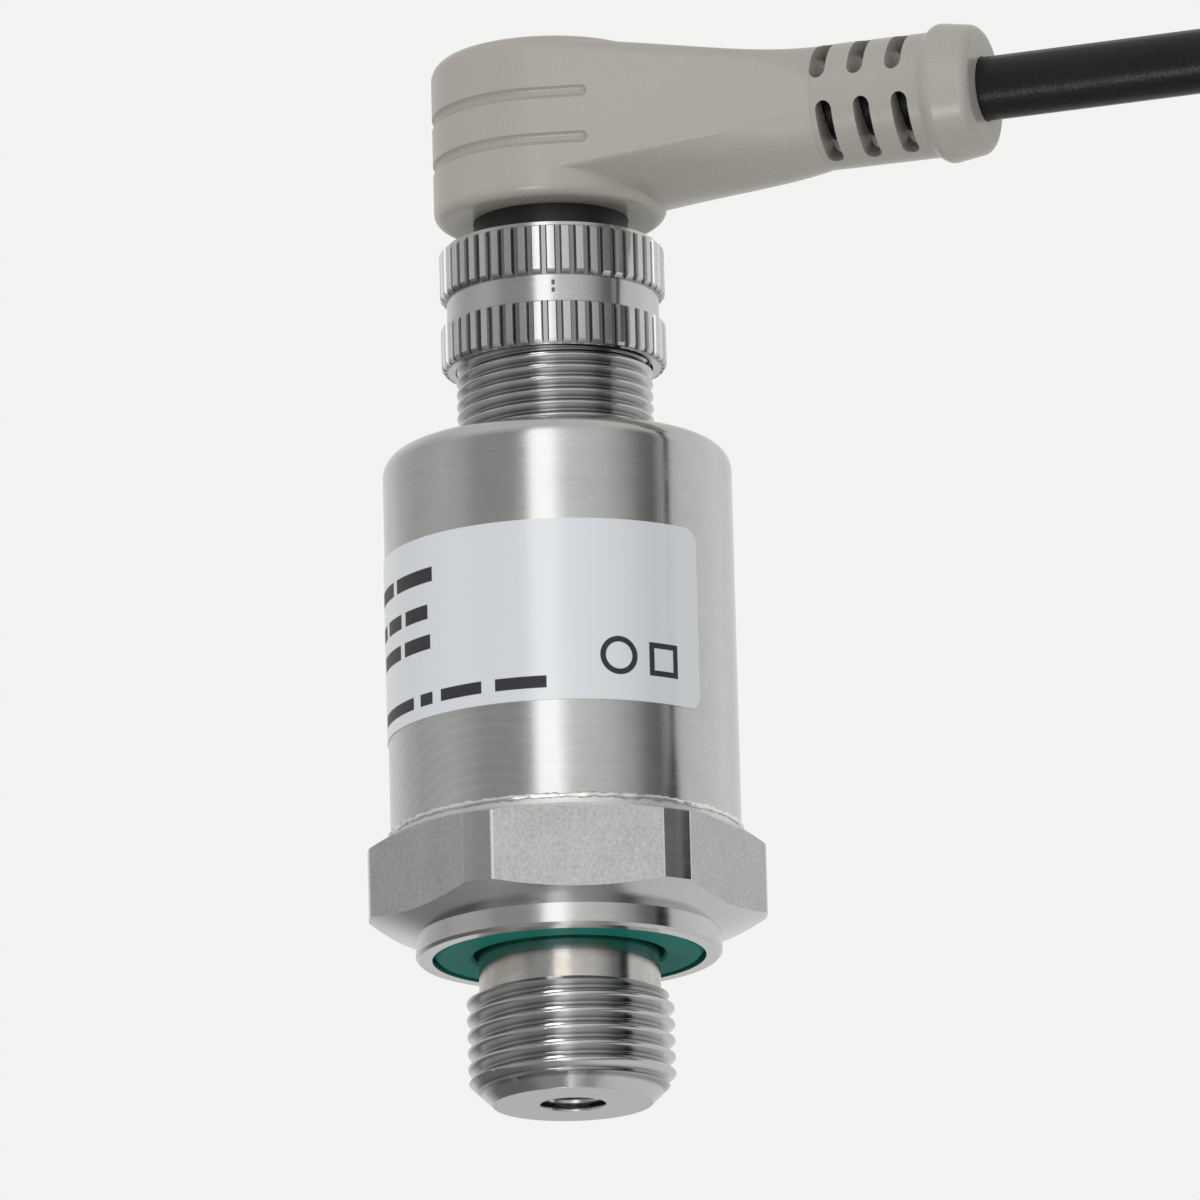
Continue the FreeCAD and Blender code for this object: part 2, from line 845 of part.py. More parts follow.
def coupling_nut():
    """Ring nut with two bands of straight knurling and a plain band between them."""
    tip = nut_tip_radius
    band = nut_band_radius
    bore = nut_bore
    neck = insert_radius + d.insert_running_clearance
    chamfer = d.nut_edge_chamfer
    wall_bottom = nut_top - d.nut_top_wall
    lower_top = nut_bottom + d.nut_lower_knurl
    upper_bottom = lower_top + d.nut_band
    body = turned(
        "nut",
        [
            (bore, nut_bottom),
            (band, nut_bottom),
            (band, nut_bottom + d.nut_lower_rim),
            (tip - chamfer / 2, nut_bottom + d.nut_lower_rim),
            (tip, nut_bottom + chamfer),
            (tip, lower_top - chamfer / 2),
            (tip - chamfer, lower_top),
            (band, lower_top),
            (band, upper_bottom),
            (tip - chamfer, upper_bottom),
            (tip, upper_bottom + chamfer),
            (tip, nut_top - d.nut_rim - chamfer / 2),
            (tip - chamfer, nut_top - d.nut_rim),
            (band, nut_top - d.nut_rim),
            (band, nut_top),
            (neck, nut_top),
            (neck, wall_bottom),
            (bore, wall_bottom),
        ],
    )
    sketch = new_sketch(body, "tooth_gap", "XY_Plane")
    outside = tip + d.nut_tooth_overcut
    root = tip - d.nut_tooth_depth
    wide = d.nut_tooth_gap_top / 2
    narrow = d.nut_tooth_gap_root / 2
    add_outline(sketch, [(root, -narrow), (outside, -wide), (outside, wide), (root, narrow)])
    gap = body.newObject("PartDesign::Pocket", "tooth_gap_cut")
    gap.Profile = sketch
    gap.Type = 1
    gap.Midplane = True
    sketch.Visibility = False
    pattern = body.newObject("PartDesign::PolarPattern", "knurling")
    pattern.Originals = [gap]
    pattern.Axis = (origin_plane(body, "Z_Axis"), [""])
    pattern.Angle = 360
    bind(pattern, Occurrences=d.nut_teeth)
    body.Tip = pattern
    keep(body, "coupling_nut")


def add_vaulted_section(sketch, half_width, low, edge, high, lower_corner, upper_corner):
    """Adds a section with upright flanks, a flat top and an underside that is one wide arc.

    Without its rounded corners, the underside would meet the flanks at the edge height.
    """
    rise = edge - low
    arch = (half_width * half_width + rise * rise) / (rise * 2)
    w, t, r, s, wide = (
        size.value for size in (half_width, high, lower_corner, upper_corner, arch)
    )
    middle = low.value + wide
    foot = middle - math.sqrt((wide - r) ** 2 - (w - r) ** 2)
    swing = math.atan2(middle - foot, w - r)
    quarter = math.pi / 2

    def arc(x, y, radius, start, end):
        circle = Part.Circle(Vector(x, y, 0), Vector(0, 0, 1), radius)
        sketch.addGeometry(Part.ArcOfCircle(circle, start, end))

    def line(*ends):
        sketch.addGeometry(Part.LineSegment(*(Vector(x, y, 0) for x, y in ends)))

    arc(0, middle, wide, swing - 2 * quarter, -swing)
    arc(w - r, foot, r, -swing, 0)
    line((w, foot), (w, t - s))
    arc(w - s, t - s, s, 0, quarter)
    line((w - s, t), (s - w, t))
    arc(s - w, t - s, s, quarter, 2 * quarter)
    line((-w, t - s), (-w, foot))
    arc(r - w, foot, r, 2 * quarter, 2 * quarter + swing)
    rule = Sketcher.Constraint
    for i in range(8):
        sketch.addConstraint(rule("Tangent", i, 2, (i + 1) % 8, 1))
    sketch.addConstraint(rule("Vertical", 2))
    sketch.addConstraint(rule("Vertical", 6))
    sketch.addConstraint(rule("Horizontal", 4))
    sketch.addConstraint(rule("Equal", 1, 7))
    sketch.addConstraint(rule("Equal", 3, 5))
    sketch.addConstraint(rule("PointOnObject", 0, 3, -2))
    ties = [
        ("Radius", (0, wide), arch),
        ("Radius", (1, r), lower_corner),
        ("Radius", (3, s), upper_corner),
        ("DistanceX", (-1, 1, 2, 1, w), half_width),
        ("DistanceX", (6, 1, -1, 1, w), half_width),
        ("DistanceY", (-1, 1, 0, 3, middle), low + arch),
        ("DistanceY", (-1, 1, 4, 1, t), high),
    ]
    for kind, what, size in ties:
        index = sketch.addConstraint(rule(kind, *what))
        sketch.setExpression(f"Constraints[{index}]", size.text)


def add_slot(sketch, x, half_length, half_width):
    """Adds an upright slot with round ends, with its middle on the sketch's X axis."""
    x, half_length, half_width = map(as_size, (x, half_length, half_width))
    c, r, straight = x.value, half_width.value, half_length.value - half_width.value
    first = sketch.GeometryCount
    up, out = Vector(0, 0, 1), math.pi
    sketch.addGeometry(Part.ArcOfCircle(Part.Circle(Vector(c, straight, 0), up, r), 0, out))
    sketch.addGeometry(Part.LineSegment(Vector(c - r, straight, 0), Vector(c - r, -straight, 0)))
    sketch.addGeometry(
        Part.ArcOfCircle(Part.Circle(Vector(c, -straight, 0), up, r), out, 2 * out)
    )
    sketch.addGeometry(Part.LineSegment(Vector(c + r, -straight, 0), Vector(c + r, straight, 0)))
    rule = Sketcher.Constraint
    for i in range(4):
        sketch.addConstraint(rule("Tangent", first + i, 2, first + (i + 1) % 4, 1))
    sketch.addConstraint(rule("Vertical", first + 1))
    ties = [
        ("Radius", (first, r), half_width),
        ("DistanceX", (-1, 1, first, 3, c), x),
        ("DistanceY", (-1, 1, first, 3, straight), half_length - half_width),
        ("DistanceY", (first + 2, 3, -1, 1, straight), half_length - half_width),
    ]
    for kind, what, size in ties:
        index = sketch.addConstraint(rule(kind, *what))
        sketch.setExpression(f"Constraints[{index}]", size.text)


def plug_housing():
    """Moulded right-angle housing: round head, tapering arm with slots, and collar."""
    head = d.head_diameter / 2
    arm = d.arm_diameter / 2
    lead_hole = d.lead_diameter / 2 + d.lead_clearance
    chamber = insert_radius + d.lead_clearance
    body = turned("housing", [(0, head_bottom), (head, head_bottom), (head, head_top), (0, head_top)])
    rounded(body, d.head_top_radius, lambda edge: is_ring(edge, head, head_top), "top_edge")
    rounded(
        body, d.head_bottom_radius, lambda edge: is_ring(edge, head, head_bottom), "bottom_edge"
    )

    # In plan the arm's flanks leave the head as tangents and narrow evenly to its round part.
    span = d.arm_round_start
    flank = head - d.arm_inset
    neck = arm - d.arm_neck_step
    slope = (flank * root(span * span + neck * neck - flank * flank) - span * neck) / (
        span * span - flank * flank
    )
    stretch = root(slope * slope + 1)
    arm_start = flank * slope / stretch
    sections = []
    last = int(d.arm_sections.value) - 1
    for i in range(last + 1):
        along = (span - arm_start) * i / last
        x = arm_start + along
        sketch = new_sketch(body, f"arm_section_{i + 1}", "YZ_Plane")
        sketch.AttachmentOffset = Placement(Vector(0, 0, x.value), Rotation())
        sketch.setExpression("AttachmentOffset.Base.z", x.text)
        if i < last:
            section = (
                head_bottom + d.arm_low_rise + d.arm_low_slope * along,
                head_bottom + d.arm_edge_rise + d.arm_edge_slope * along,
                head_top - d.arm_top_drop - d.arm_top_slope * along,
                d.arm_edge_radius,
                d.head_top_radius,
            )
        else:
            flat = d.arm_neck_flat
            section = (
                arm_axis - neck, arm_axis - flat * 10, arm_axis + neck, neck * 0.8, neck - flat
            )
        add_vaulted_section(sketch, neck + (span - x) * slope, *section)
        sections.append(sketch)
        sketch.Visibility = False
    loft = body.newObject("PartDesign::AdditiveLoft", "arm")
    loft.Profile = sections[0]
    loft.Sections = sections[1:]

    collar = d.collar_diameter / 2
    collar_tip = d.collar_end_diameter / 2
    tail = new_sketch(body, "tail_outline")
    tail.AttachmentOffset = Placement(Vector(0, arm_axis.value, 0), Rotation())
    tail.setExpression("AttachmentOffset.Base.y", arm_axis.text)
    add_outline(
        tail,
        [
            (d.arm_round_start, 0),
            (d.arm_round_start, arm),
            (d.arm_length, arm),
            (d.arm_length + d.collar_slope, collar),
            (collar_end, collar_tip),
            (collar_end, 0),
        ],
    )
    turning = body.newObject("PartDesign::Revolution", "tail")
    turning.Profile = tail
    turning.ReferenceAxis = (tail, ["H_Axis"])
    turning.Angle = 360
    tail.Visibility = False

    def is_collar_edge(edge):
        curve = edge.Curve
        return (
            isinstance(curve, Part.Circle)
            and min(abs(curve.Radius - r.value) for r in (collar, collar_tip)) < 1e-4
            and curve.Center.x > d.arm_length.value
        )

    rounded(body, d.collar_edge_radius, is_collar_edge, "collar_edges")

    def turned_cut(name, corners, axis_name, lifted):
        sketch = new_sketch(body, name + "_outline")
        if lifted:
            sketch.AttachmentOffset = Placement(Vector(0, arm_axis.value, 0), Rotation())
            sketch.setExpression("AttachmentOffset.Base.y", arm_axis.text)
        add_outline(sketch, corners)
        groove = body.newObject("PartDesign::Groove", name)
        groove.Profile = sketch
        groove.ReferenceAxis = (sketch, [axis_name])
        groove.Angle = 360
        sketch.Visibility = False
        return groove

    ceiling = head_bottom + d.head_chamber_height
    turned_cut(
        "chamber",
        [(0, head_bottom), (chamber, head_bottom), (chamber, ceiling), (0, ceiling)],
        "V_Axis",
        False,
    )
    turned_cut(
        "lead_hole", [(0, 0), (0, lead_hole), (collar_end, lead_hole), (collar_end, 0)],
        "H_Axis", True,
    )

    rows = [
        ("lower", d.slot_lower_angle, d.slot_first),
        ("upper", d.slot_upper_angle, d.slot_first - d.slot_upper_shift),
    ]
    for name, angle, first in rows:
        for side in (1, -1):
            tilt = (90 - angle) * side
            sketch = new_sketch(body, f"{name}_slots_{'near' if side > 0 else 'far'}", "XY_Plane")
            sketch.AttachmentOffset = Placement(
                Vector(0, 0, arm_axis.value), Rotation(Vector(1, 0, 0), tilt.value)
            )
            sketch.setExpression("AttachmentOffset.Base.z", arm_axis.text)
            sketch.setExpression("AttachmentOffset.Rotation.Angle", tilt.text)
            for i in range(int(d.slot_count.value)):
                add_slot(sketch, first + d.slot_pitch * i, d.slot_length / 2, d.slot_width / 2)
            pocket = body.newObject("PartDesign::Pocket", sketch.Name + "_cut")
            pocket.Profile = sketch
            pocket.Reversed = True
            bind(pocket, Length=collar + 2)
            sketch.Visibility = False

    # Each groove runs round the back of the head and on along both flanks.
    ball = d.groove_width / 2
    path = head + ball - d.groove_depth
    across, aside = slope / stretch, as_size(1) / stretch
    run = (d.groove_reach - path * across) / aside
    wrap = 180 + 2 * arctangent(slope)
    tools = []
    for name, drop in (("upper", d.groove_upper_drop), ("lower", d.groove_lower_drop)):
        height = head_top - drop
        ring = doc.addObject("Part::Torus", f"{name}_groove")
        bind(ring, Radius1=path, Radius2=ball, Angle3=wrap)
        ring.Placement = Placement(Vector(0, 0, 0), Rotation(Vector(0, 0, 1), 1))
        ring.setExpression("Placement.Rotation.Angle", (180 - wrap / 2).text)
        place(ring, z=height)
        tools.append(ring)
        for side in (1, -1):
            rod = cylinder(f"{name}_groove_run", ball, run)
            rod.Placement = Placement(
                Vector(0, 0, 0), Rotation(Vector(across.value * side, aside.value, 0), 90)
            )
            rod.setExpression("Placement.Rotation.Axis.x", (across * side).text)
            rod.setExpression("Placement.Rotation.Axis.y", aside.text)
            place(rod, path * across, path * aside * side, height)
            tools.append(rod)
            end = doc.addObject("Part::Sphere", f"{name}_groove_end")
            bind(end, Radius=ball)
            place(
                end,
                path * across + run * aside,
                (path * aside - run * across) * side,
                height,
            )
            tools.append(end)
    keep(cut("housing_grooved", body, tools), "plug_housing")


def rounded_path(points, radii=None):
    """A wire of straight runs joined by tangent arcs, each as large as its runs allow."""
    edges = []
    start = points[0]
    sizes = []
    for i in range(1, len(points) - 1):
        before, here, after = points[i - 1], points[i], points[i + 1]
        back = (before - here).normalize()
        on = (after - here).normalize()
        half_turn = (math.pi - back.getAngle(on)) / 2
        shorter = min((before - here).Length, (after - here).Length)
        radius = radii[i - 1] if radii else 0.45 * shorter / math.tan(half_turn)
        reach = radius * math.tan(half_turn)
        first = here + back * reach
        last = here + on * reach
        middle_way = (back + on).normalize()
        middle = here + middle_way * (radius / math.cos(half_turn) - radius)
        edges.append(Part.LineSegment(start, first).toShape())
        edges.append(Part.Arc(first, middle, last).toShape())
        start = last
        sizes.append(radius)
    edges.append(Part.LineSegment(start, points[-1]).toShape())
    return Part.Wire(edges), sizes


def tube_along(label, points, radius, radii=None):
    path, bends = rounded_path(points, radii)
    along = (points[1] - points[0]).normalize()
    ring = Part.Wire([Part.Circle(points[0], along, radius).toShape()])
    tube = path.makePipeShell([ring], True, True)
    piece = doc.addObject("Part::Feature", label)
    piece.Shape = tube
    expected = path.Length * math.pi * radius**2
    print(label, "length", round(path.Length, 2), "radii", [round(r, 1) for r in bends],
          "volume", round(tube.Volume / expected, 4))
    return keep(piece, label)


def cores():
    """The lead's cores inside the head, which leave it square and bend down to their sockets."""
    ring = d.core_circle_diameter.value / 2
    radius = d.core_diameter.value / 2
    bend = d.core_bend_radius.value
    foot = (insert_top + d.socket_tail).value
    root_end = d.lead_inside_start.value
    turn = 360 / d.core_count.value
    for i, (x, y) in enumerate(contact_spots(), start=1):
        angle = math.radians(54 + turn * i)
        side = ring * math.cos(angle)
        up = arm_axis.value + ring * math.sin(angle)
        points = [
            Vector(root_end, side, up),
            Vector(root_end - d.core_straight.value, side, up),
            Vector(x.value, y.value, up),
            Vector(x.value, y.value, foot),
        ]
        if abs(y.value) < radius:
            points.pop(1)
        tube_along(f"core_{i}", points, radius, [bend] * (len(points) - 2))


def lead():
    """The lead: its end moulded in the arm, the free part, its tied coil and its stripped far end."""
    radius = d.lead_diameter / 2
    inside = cylinder("lead_root", radius, collar_end - d.lead_inside_start)
    inside.Placement = Placement(Vector(0, 0, 0), Rotation(Vector(0, 1, 0), 90))
    place(inside, d.lead_inside_start, 0, arm_axis)
    keep(inside, "cable_root")

    height = arm_axis.value
    start = Vector(collar_end.value, 0, height)
    route = [
        start,
        Vector(64.0, 0, height),
        Vector(79.6, 0, height - 9.0),
        Vector(88.6, 0, height - 24.6),
    ]
    coil_radius = d.coil_mean_diameter.value / 2
    half_wide = d.coil_turns_wide * d.lead_diameter / 2
    half_deep = ((d.coil_turns_deep - 1) * root(as_size(3)) / 2 + 1) * d.lead_diameter / 2
    wide, deep = half_wide.value, half_deep.value
    down_x = route[-1].x
    touch = math.sqrt((coil_radius + deep) ** 2 - (coil_radius - radius.value) ** 2)
    end_height = route[-1].z - d.coil_drop.value
    route.append(Vector(down_x, 0, end_height))
    tube_along("lead_cord", route, radius.value)

    gap, bevel = d.coil_gap.value, d.coil_corner.value
    centre = Vector(down_x + coil_radius, 0, end_height - touch - gap)
    corners = [
        (coil_radius + deep * x, wide * y, x, y) for x, y in ((-1, -1), (1, -1), (1, 1), (-1, 1))
    ]
    outline = []
    for x, y, right, back in corners:
        ends = [centre + Vector(x - bevel * right, y, 0), centre + Vector(x, y - bevel * back, 0)]
        outline += ends if right != back else ends[::-1]
    section = Part.makePolygon(outline + outline[:1])
    coil = doc.addObject("Part::Feature", "coil")
    coil.Shape = Part.Face(section).revolve(centre, Vector(0, 1, 0), 360)
    keep(coil, "cord_coil")

    reach = half_deep + d.tie_clearance
    side = half_wide + d.tie_clearance
    outside = box("tie_outside", (reach + d.tie_thickness) * 2, (side + d.tie_thickness) * 2,
                  d.tie_width, 0, 0, 0)
    inside = box("tie_inside", reach * 2, side * 2, d.tie_width, 0, 0, 0)
    middle_x, middle_z = centre.x + coil_radius, centre.z
    for block, more in ((outside, d.tie_thickness), (inside, as_size(0))):
        place(block, middle_x - reach - more, -side - more, middle_z - d.tie_width / 2)
    keep(cut("tie", outside, [inside]), "cord_tie")

    tail_top = centre.z - touch - gap
    tail_end = tail_top - d.tail_length.value
    tail = cylinder("tail", radius, d.tail_length, down_x, 0, tail_end)
    keep(tail, "lead_tail")
    core = d.core_diameter / 2
    ends, caps = [], []
    count = int(d.core_count.value)
    for i in range(count):
        angle = as_size(90 + 360 * i / count)
        x = down_x + d.core_circle_diameter / 2 * cosine(angle)
        y = d.core_circle_diameter / 2 * sine(angle)
        low = tail_end - d.end_core_length
        ends.append(cylinder(f"end_core_{i + 1}", core, d.end_core_length, x, y, low))
        cap_radius = core + d.ferrule_wall
        cap_low = low - d.ferrule_length
        caps.append(cylinder(f"cap_{i + 1}", cap_radius, d.ferrule_length, x, y, cap_low))
    for label, group in (("end_cores", ends), ("end_ferrules", caps)):
        joined = doc.addObject("Part::Compound", label + "_group")
        joined.Links = group
        keep(joined, label)


process_fitting()
seal_ring()
ring_seal(
    "inner_seal_ring",
    d.cell_seal_ring_diameter,
    d.cell_seal_section,
    d.cell_chamber_floor - d.cell_seal_section / 2 - d.cell_seal_clearance,
)
measuring_cell()
boards()
flex_lead()
housing_sleeve()
type_label()
connector_spigot()
pins()
sockets()
coupling_nut()
plug_housing()
cores()
lead()
doc.recompute()

for item in doc.Objects:
    if "Invalid" in item.State or "Error" in item.State:
        raise ValueError(f"{item.Label} failed: {item.State}")

os.makedirs("parts", exist_ok=True)
for piece in pieces:
    shape = piece.Shape
    if shape.isNull() or not shape.isValid() or not shape.Solids:
        raise ValueError(f"{piece.Label} is not a valid solid")
    shape.exportStep(f"parts/{piece.Label}.step")
    print(piece.Label, len(shape.Solids), round(shape.Volume, 1))
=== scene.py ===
import math

import bpy
from mathutils import Matrix, Vector


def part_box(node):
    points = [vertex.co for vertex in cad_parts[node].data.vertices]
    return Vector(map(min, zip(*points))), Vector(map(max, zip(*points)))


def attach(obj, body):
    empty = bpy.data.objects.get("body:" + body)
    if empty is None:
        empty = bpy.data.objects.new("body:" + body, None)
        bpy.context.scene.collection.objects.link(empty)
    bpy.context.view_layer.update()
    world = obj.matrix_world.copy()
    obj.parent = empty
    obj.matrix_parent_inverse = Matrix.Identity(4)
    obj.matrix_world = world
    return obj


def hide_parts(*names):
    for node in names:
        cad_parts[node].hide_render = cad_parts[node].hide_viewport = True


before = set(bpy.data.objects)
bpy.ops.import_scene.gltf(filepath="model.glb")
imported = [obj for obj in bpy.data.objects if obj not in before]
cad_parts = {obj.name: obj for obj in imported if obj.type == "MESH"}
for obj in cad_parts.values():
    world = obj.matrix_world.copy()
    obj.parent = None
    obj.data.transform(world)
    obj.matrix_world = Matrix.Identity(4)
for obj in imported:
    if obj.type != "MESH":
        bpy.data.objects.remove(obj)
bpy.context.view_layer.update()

mm = 0.001
mergeWithin = 0.001 * mm


class Maths:  # wraps a shader socket, so that sums on it add Math nodes
    def __init__(self, tree, socket=None):
        self.tree = tree
        self.socket = socket

    # settings are set first, then the sockets by their names, or i0, i1 and so on by their numbers
    def node(self, kind, settings=None, **inputs):
        made = self.tree.nodes.new(kind)
        for key, value in (settings or {}).items():
            if key == "stops":
                ramp = made.color_ramp
                while len(ramp.elements) < len(value):
                    ramp.elements.new(0.5)
                for element, (place, shade) in zip(ramp.elements, value):
                    element.position = place
                    element.color = (shade, shade, shade, 1)
            else:
                setattr(made, key, value)
        for key, value in inputs.items():
            slot = made.inputs[int(key[1:])] if key[1:].isdigit() else made.inputs[key.replace("_", " ")]
            self.give(slot, value)
        return made

    def give(self, slot, value):
        if isinstance(value, Maths):
            self.tree.links.new(value.socket, slot)
        elif isinstance(value, tuple) and len(value) == 3 and slot.type == "RGBA":
            slot.default_value = (*value, 1)
        else:
            slot.default_value = value

    def out(self, made, name=0):
        return Maths(self.tree, made.outputs[name])

    def maths(self, operation, *values):
        made = self.tree.nodes.new("ShaderNodeMath")
        made.operation = operation
        for slot, value in zip(made.inputs, values):
            self.give(slot, value)
        return self.out(made)

    def __add__(self, other):
        return self.maths("ADD", self, other)

    def __radd__(self, other):
        return self.maths("ADD", other, self)

    def __sub__(self, other):
        return self.maths("SUBTRACT", self, other)

    def __rsub__(self, other):
        return self.maths("SUBTRACT", other, self)

    def __mul__(self, other):
        return self.maths("MULTIPLY", self, other)

    def __rmul__(self, other):
        return self.maths("MULTIPLY", other, self)

    def __truediv__(self, other):
        return self.maths("DIVIDE", self, other)

    def __neg__(self):
        return self.maths("MULTIPLY", self, -1)

    def clamped(self):
        return self.maths("MINIMUM", self.maths("MAXIMUM", self, 0), 1)

    def rise(self, low, high):  # 0 below low, 1 above high
        return ((self - low) / (high - low)).clamped()

    def between(self, low, high, soft):  # 1 from low to high, with soft edges outside
        return self.rise(low - soft, low) * (1 - self.rise(high, high + soft))

    def larger(self, other):
        return self.maths("MAXIMUM", self, other)

    def wave(self, length):  # from -1 to 1 and back over each length
        return self.maths("SINE", self * (2 * math.pi / length))


class Finish:  # a material with its Principled shader and the piece's own coordinates, in millimetres
    def __init__(self, name, **constants):
        self.material = bpy.data.materials.new(name)
        self.material.use_nodes = True
        self.tree = self.material.node_tree
        self.shader = self.tree.nodes["Principled BSDF"]
        self.tool = Maths(self.tree)
        where = self.tool.node("ShaderNodeTexCoord")
        split = self.tool.node("ShaderNodeSeparateXYZ", None, Vector=self.tool.out(where, "Object"))
        self.x, self.y, self.z = (self.tool.out(split, axis) / mm for axis in "XYZ")
        facing = self.tool.node("ShaderNodeSeparateXYZ", None, Vector=self.tool.out(where, "Normal"))
        self.facingUp = self.tool.out(facing, "Z")
        self.radius = self.tool.maths("SQRT", self.x * self.x + self.y * self.y)
        self.angle = self.tool.maths("ARCTAN2", self.y, self.x) * (180 / math.pi)
        for key, value in constants.items():
            self.shader.inputs[key.replace("_", " ")].default_value = value

    def at(self, x, y, z):
        return self.tool.out(self.tool.node("ShaderNodeCombineXYZ", None, X=x, Y=y, Z=z))

    def noise(self, size, detail=3, roughness=0.5, at=None):  # size of the patches in millimetres
        spot = at or self.at(self.x, self.y, self.z)
        made = self.tool.node(
            "ShaderNodeTexNoise", None, Vector=spot, Scale=1 / size, Detail=detail, Roughness=roughness
        )
        return self.tool.out(made)

    def mix(self, share, first, second):
        made = self.tool.node("ShaderNodeMix", {"data_type": "RGBA"})
        for name, value in (("Factor_Float", share), ("A_Color", first), ("B_Color", second)):
            self.tool.give(next(s for s in made.inputs if s.identifier == name), value)
        return Maths(self.tree, next(s for s in made.outputs if s.identifier == "Result_Color"))

    def feed(self, name, value):
        self.tree.links.new(value.socket, self.shader.inputs[name])

    def bump(self, height, distance):  # height 1 stands distance millimetres proud
        made = self.tool.node(
            "ShaderNodeBump", None, Strength=1.0, Distance=distance * mm, Height=height
        )
        self.tree.links.new(made.outputs[0], self.shader.inputs["Normal"])


view = {
    "azimuth": 19.0,
    "elevation": -14.0,
    "roll": 1.5,
    "distance": 1200 * mm,
    "lens": 446.4,
    "sensor": 36,
    "clip": (0.01, 20),
    "lookRight": 3.2 * mm,
    "lookUp": 29.5 * mm,
}


def directionTo(azimuth, elevation):  # azimuth 0 looks from -Y, 90 from +X
    side, up = math.radians(azimuth), math.radians(elevation)
    return Vector((math.sin(side) * math.cos(up), -math.cos(side) * math.cos(up), math.sin(up)))


def addCamera():
    back = directionTo(view["azimuth"], view["elevation"])
    right = directionTo(view["azimuth"] + 90, 0)
    data = bpy.data.cameras.new("camera")
    data.lens = view["lens"]
    data.sensor_width = view["sensor"]
    data.clip_start, data.clip_end = view["clip"]
    camera = bpy.data.objects.new("camera", data)
    bpy.context.scene.collection.objects.link(camera)
    spot = right * view["lookRight"] + Vector((0, 0, view["lookUp"])) + back * view["distance"]
    turn = (-back).to_track_quat("-Z", "Y").to_matrix().to_4x4()
    roll = Matrix.Rotation(math.radians(-view["roll"]), 4, "Z")
    camera.matrix_world = Matrix.Translation(spot) @ turn @ roll
    bpy.context.scene.camera = camera
    print("camera placed")


addCamera()


def pick(piece):
    bpy.ops.object.select_all(action="DESELECT")
    piece.select_set(True)
    bpy.context.view_layer.objects.active = piece


def copyOfNode(nodeName, name):  # a closed mesh of a CAD node, with plain normals
    piece = bpy.data.objects.new(name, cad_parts[nodeName].data.copy())
    bpy.context.scene.collection.objects.link(piece)
    pick(piece)
    bpy.ops.mesh.customdata_custom_splitnormals_clear()
    bpy.ops.object.mode_set(mode="EDIT")
    bpy.ops.mesh.select_all(action="SELECT")
    bpy.ops.mesh.remove_doubles(threshold=mergeWithin)
    bpy.ops.mesh.mark_sharp(clear=True)
    bpy.ops.mesh.normals_make_consistent(inside=False)
    bpy.ops.object.mode_set(mode="OBJECT")
    return piece


threadForm = {
    # half a groove in shares of the pitch: height over the root or the crest, and half the width there
    "fromRoot": [(0, 0.06), (0.03, 0.12)],
    "fromCrest": [(-0.13, 0.32), (-0.05, 0.38), (-0.01, 0.44), (0.01, 0.47)],
    "mouth": 0.47,
    "cutterOverhang": 0.6,
    "spareRadius": 0.05,
    # edges are crisp from these angles on, in degrees
    "crispFrom": 16,
    "crispInThread": 52,
}
portThread = {
    "pitch": 1.337,
    "crestRadius": 8.33,
    "rootRadius": 7.53,
    "from": -13.1,
    "turns": 8,
    "steps": 96,
}
plugThread = {
    "pitch": 1.0,
    "crestRadius": 7.95,
    "rootRadius": 7.34,
    "from": 40.75,
    "turns": 16,
    "steps": 80,
}


def threadGroove(name, cut):  # one long closed groove that winds up round Z
    pitch, root, crest = cut["pitch"], cut["rootRadius"], cut["crestRadius"]
    half = [(root + rise * pitch, width * pitch) for rise, width in threadForm["fromRoot"]]
    half += [(crest + rise * pitch, width * pitch) for rise, width in threadForm["fromCrest"]]
    half.append((crest + threadForm["cutterOverhang"], threadForm["mouth"] * pitch))
    corners = [(r, -h) for r, h in half[::-1]] + half
    bpy.ops.object.select_all(action="DESELECT")
    bpy.ops.mesh.primitive_plane_add(size=mm)
    groove = bpy.context.object
    groove.name = name
    bpy.ops.object.mode_set(mode="EDIT")
    bpy.ops.mesh.merge(type="CENTER")
    r, z = corners[0]
    bpy.ops.transform.translate(value=(r * mm, 0, (cut["from"] + z) * mm))
    for (r0, z0), (r1, z1) in zip(corners, corners[1:] + corners[:1]):
        step = ((r1 - r0) * mm, 0, (z1 - z0) * mm)
        bpy.ops.mesh.extrude_region_move(TRANSFORM_OT_translate={"value": step})
    bpy.ops.mesh.select_all(action="SELECT")
    bpy.ops.mesh.remove_doubles(threshold=mergeWithin)
    bpy.ops.object.mode_set(mode="OBJECT")
    winding = groove.modifiers.new("winding", "SCREW")
    winding.axis = "Z"
    winding.screw_offset = pitch * mm
    winding.iterations = cut["turns"]
    winding.steps = winding.render_steps = cut["steps"]
    bpy.ops.object.modifier_apply(modifier="winding")
    bpy.ops.object.mode_set(mode="EDIT")
    bpy.ops.mesh.select_all(action="SELECT")
    bpy.ops.mesh.remove_doubles(threshold=mergeWithin)
    bpy.ops.mesh.fill_holes(sides=0)
    bpy.ops.mesh.select_all(action="SELECT")
    bpy.ops.mesh.normals_make_consistent(inside=False)
    bpy.ops.object.mode_set(mode="OBJECT")
    return groove


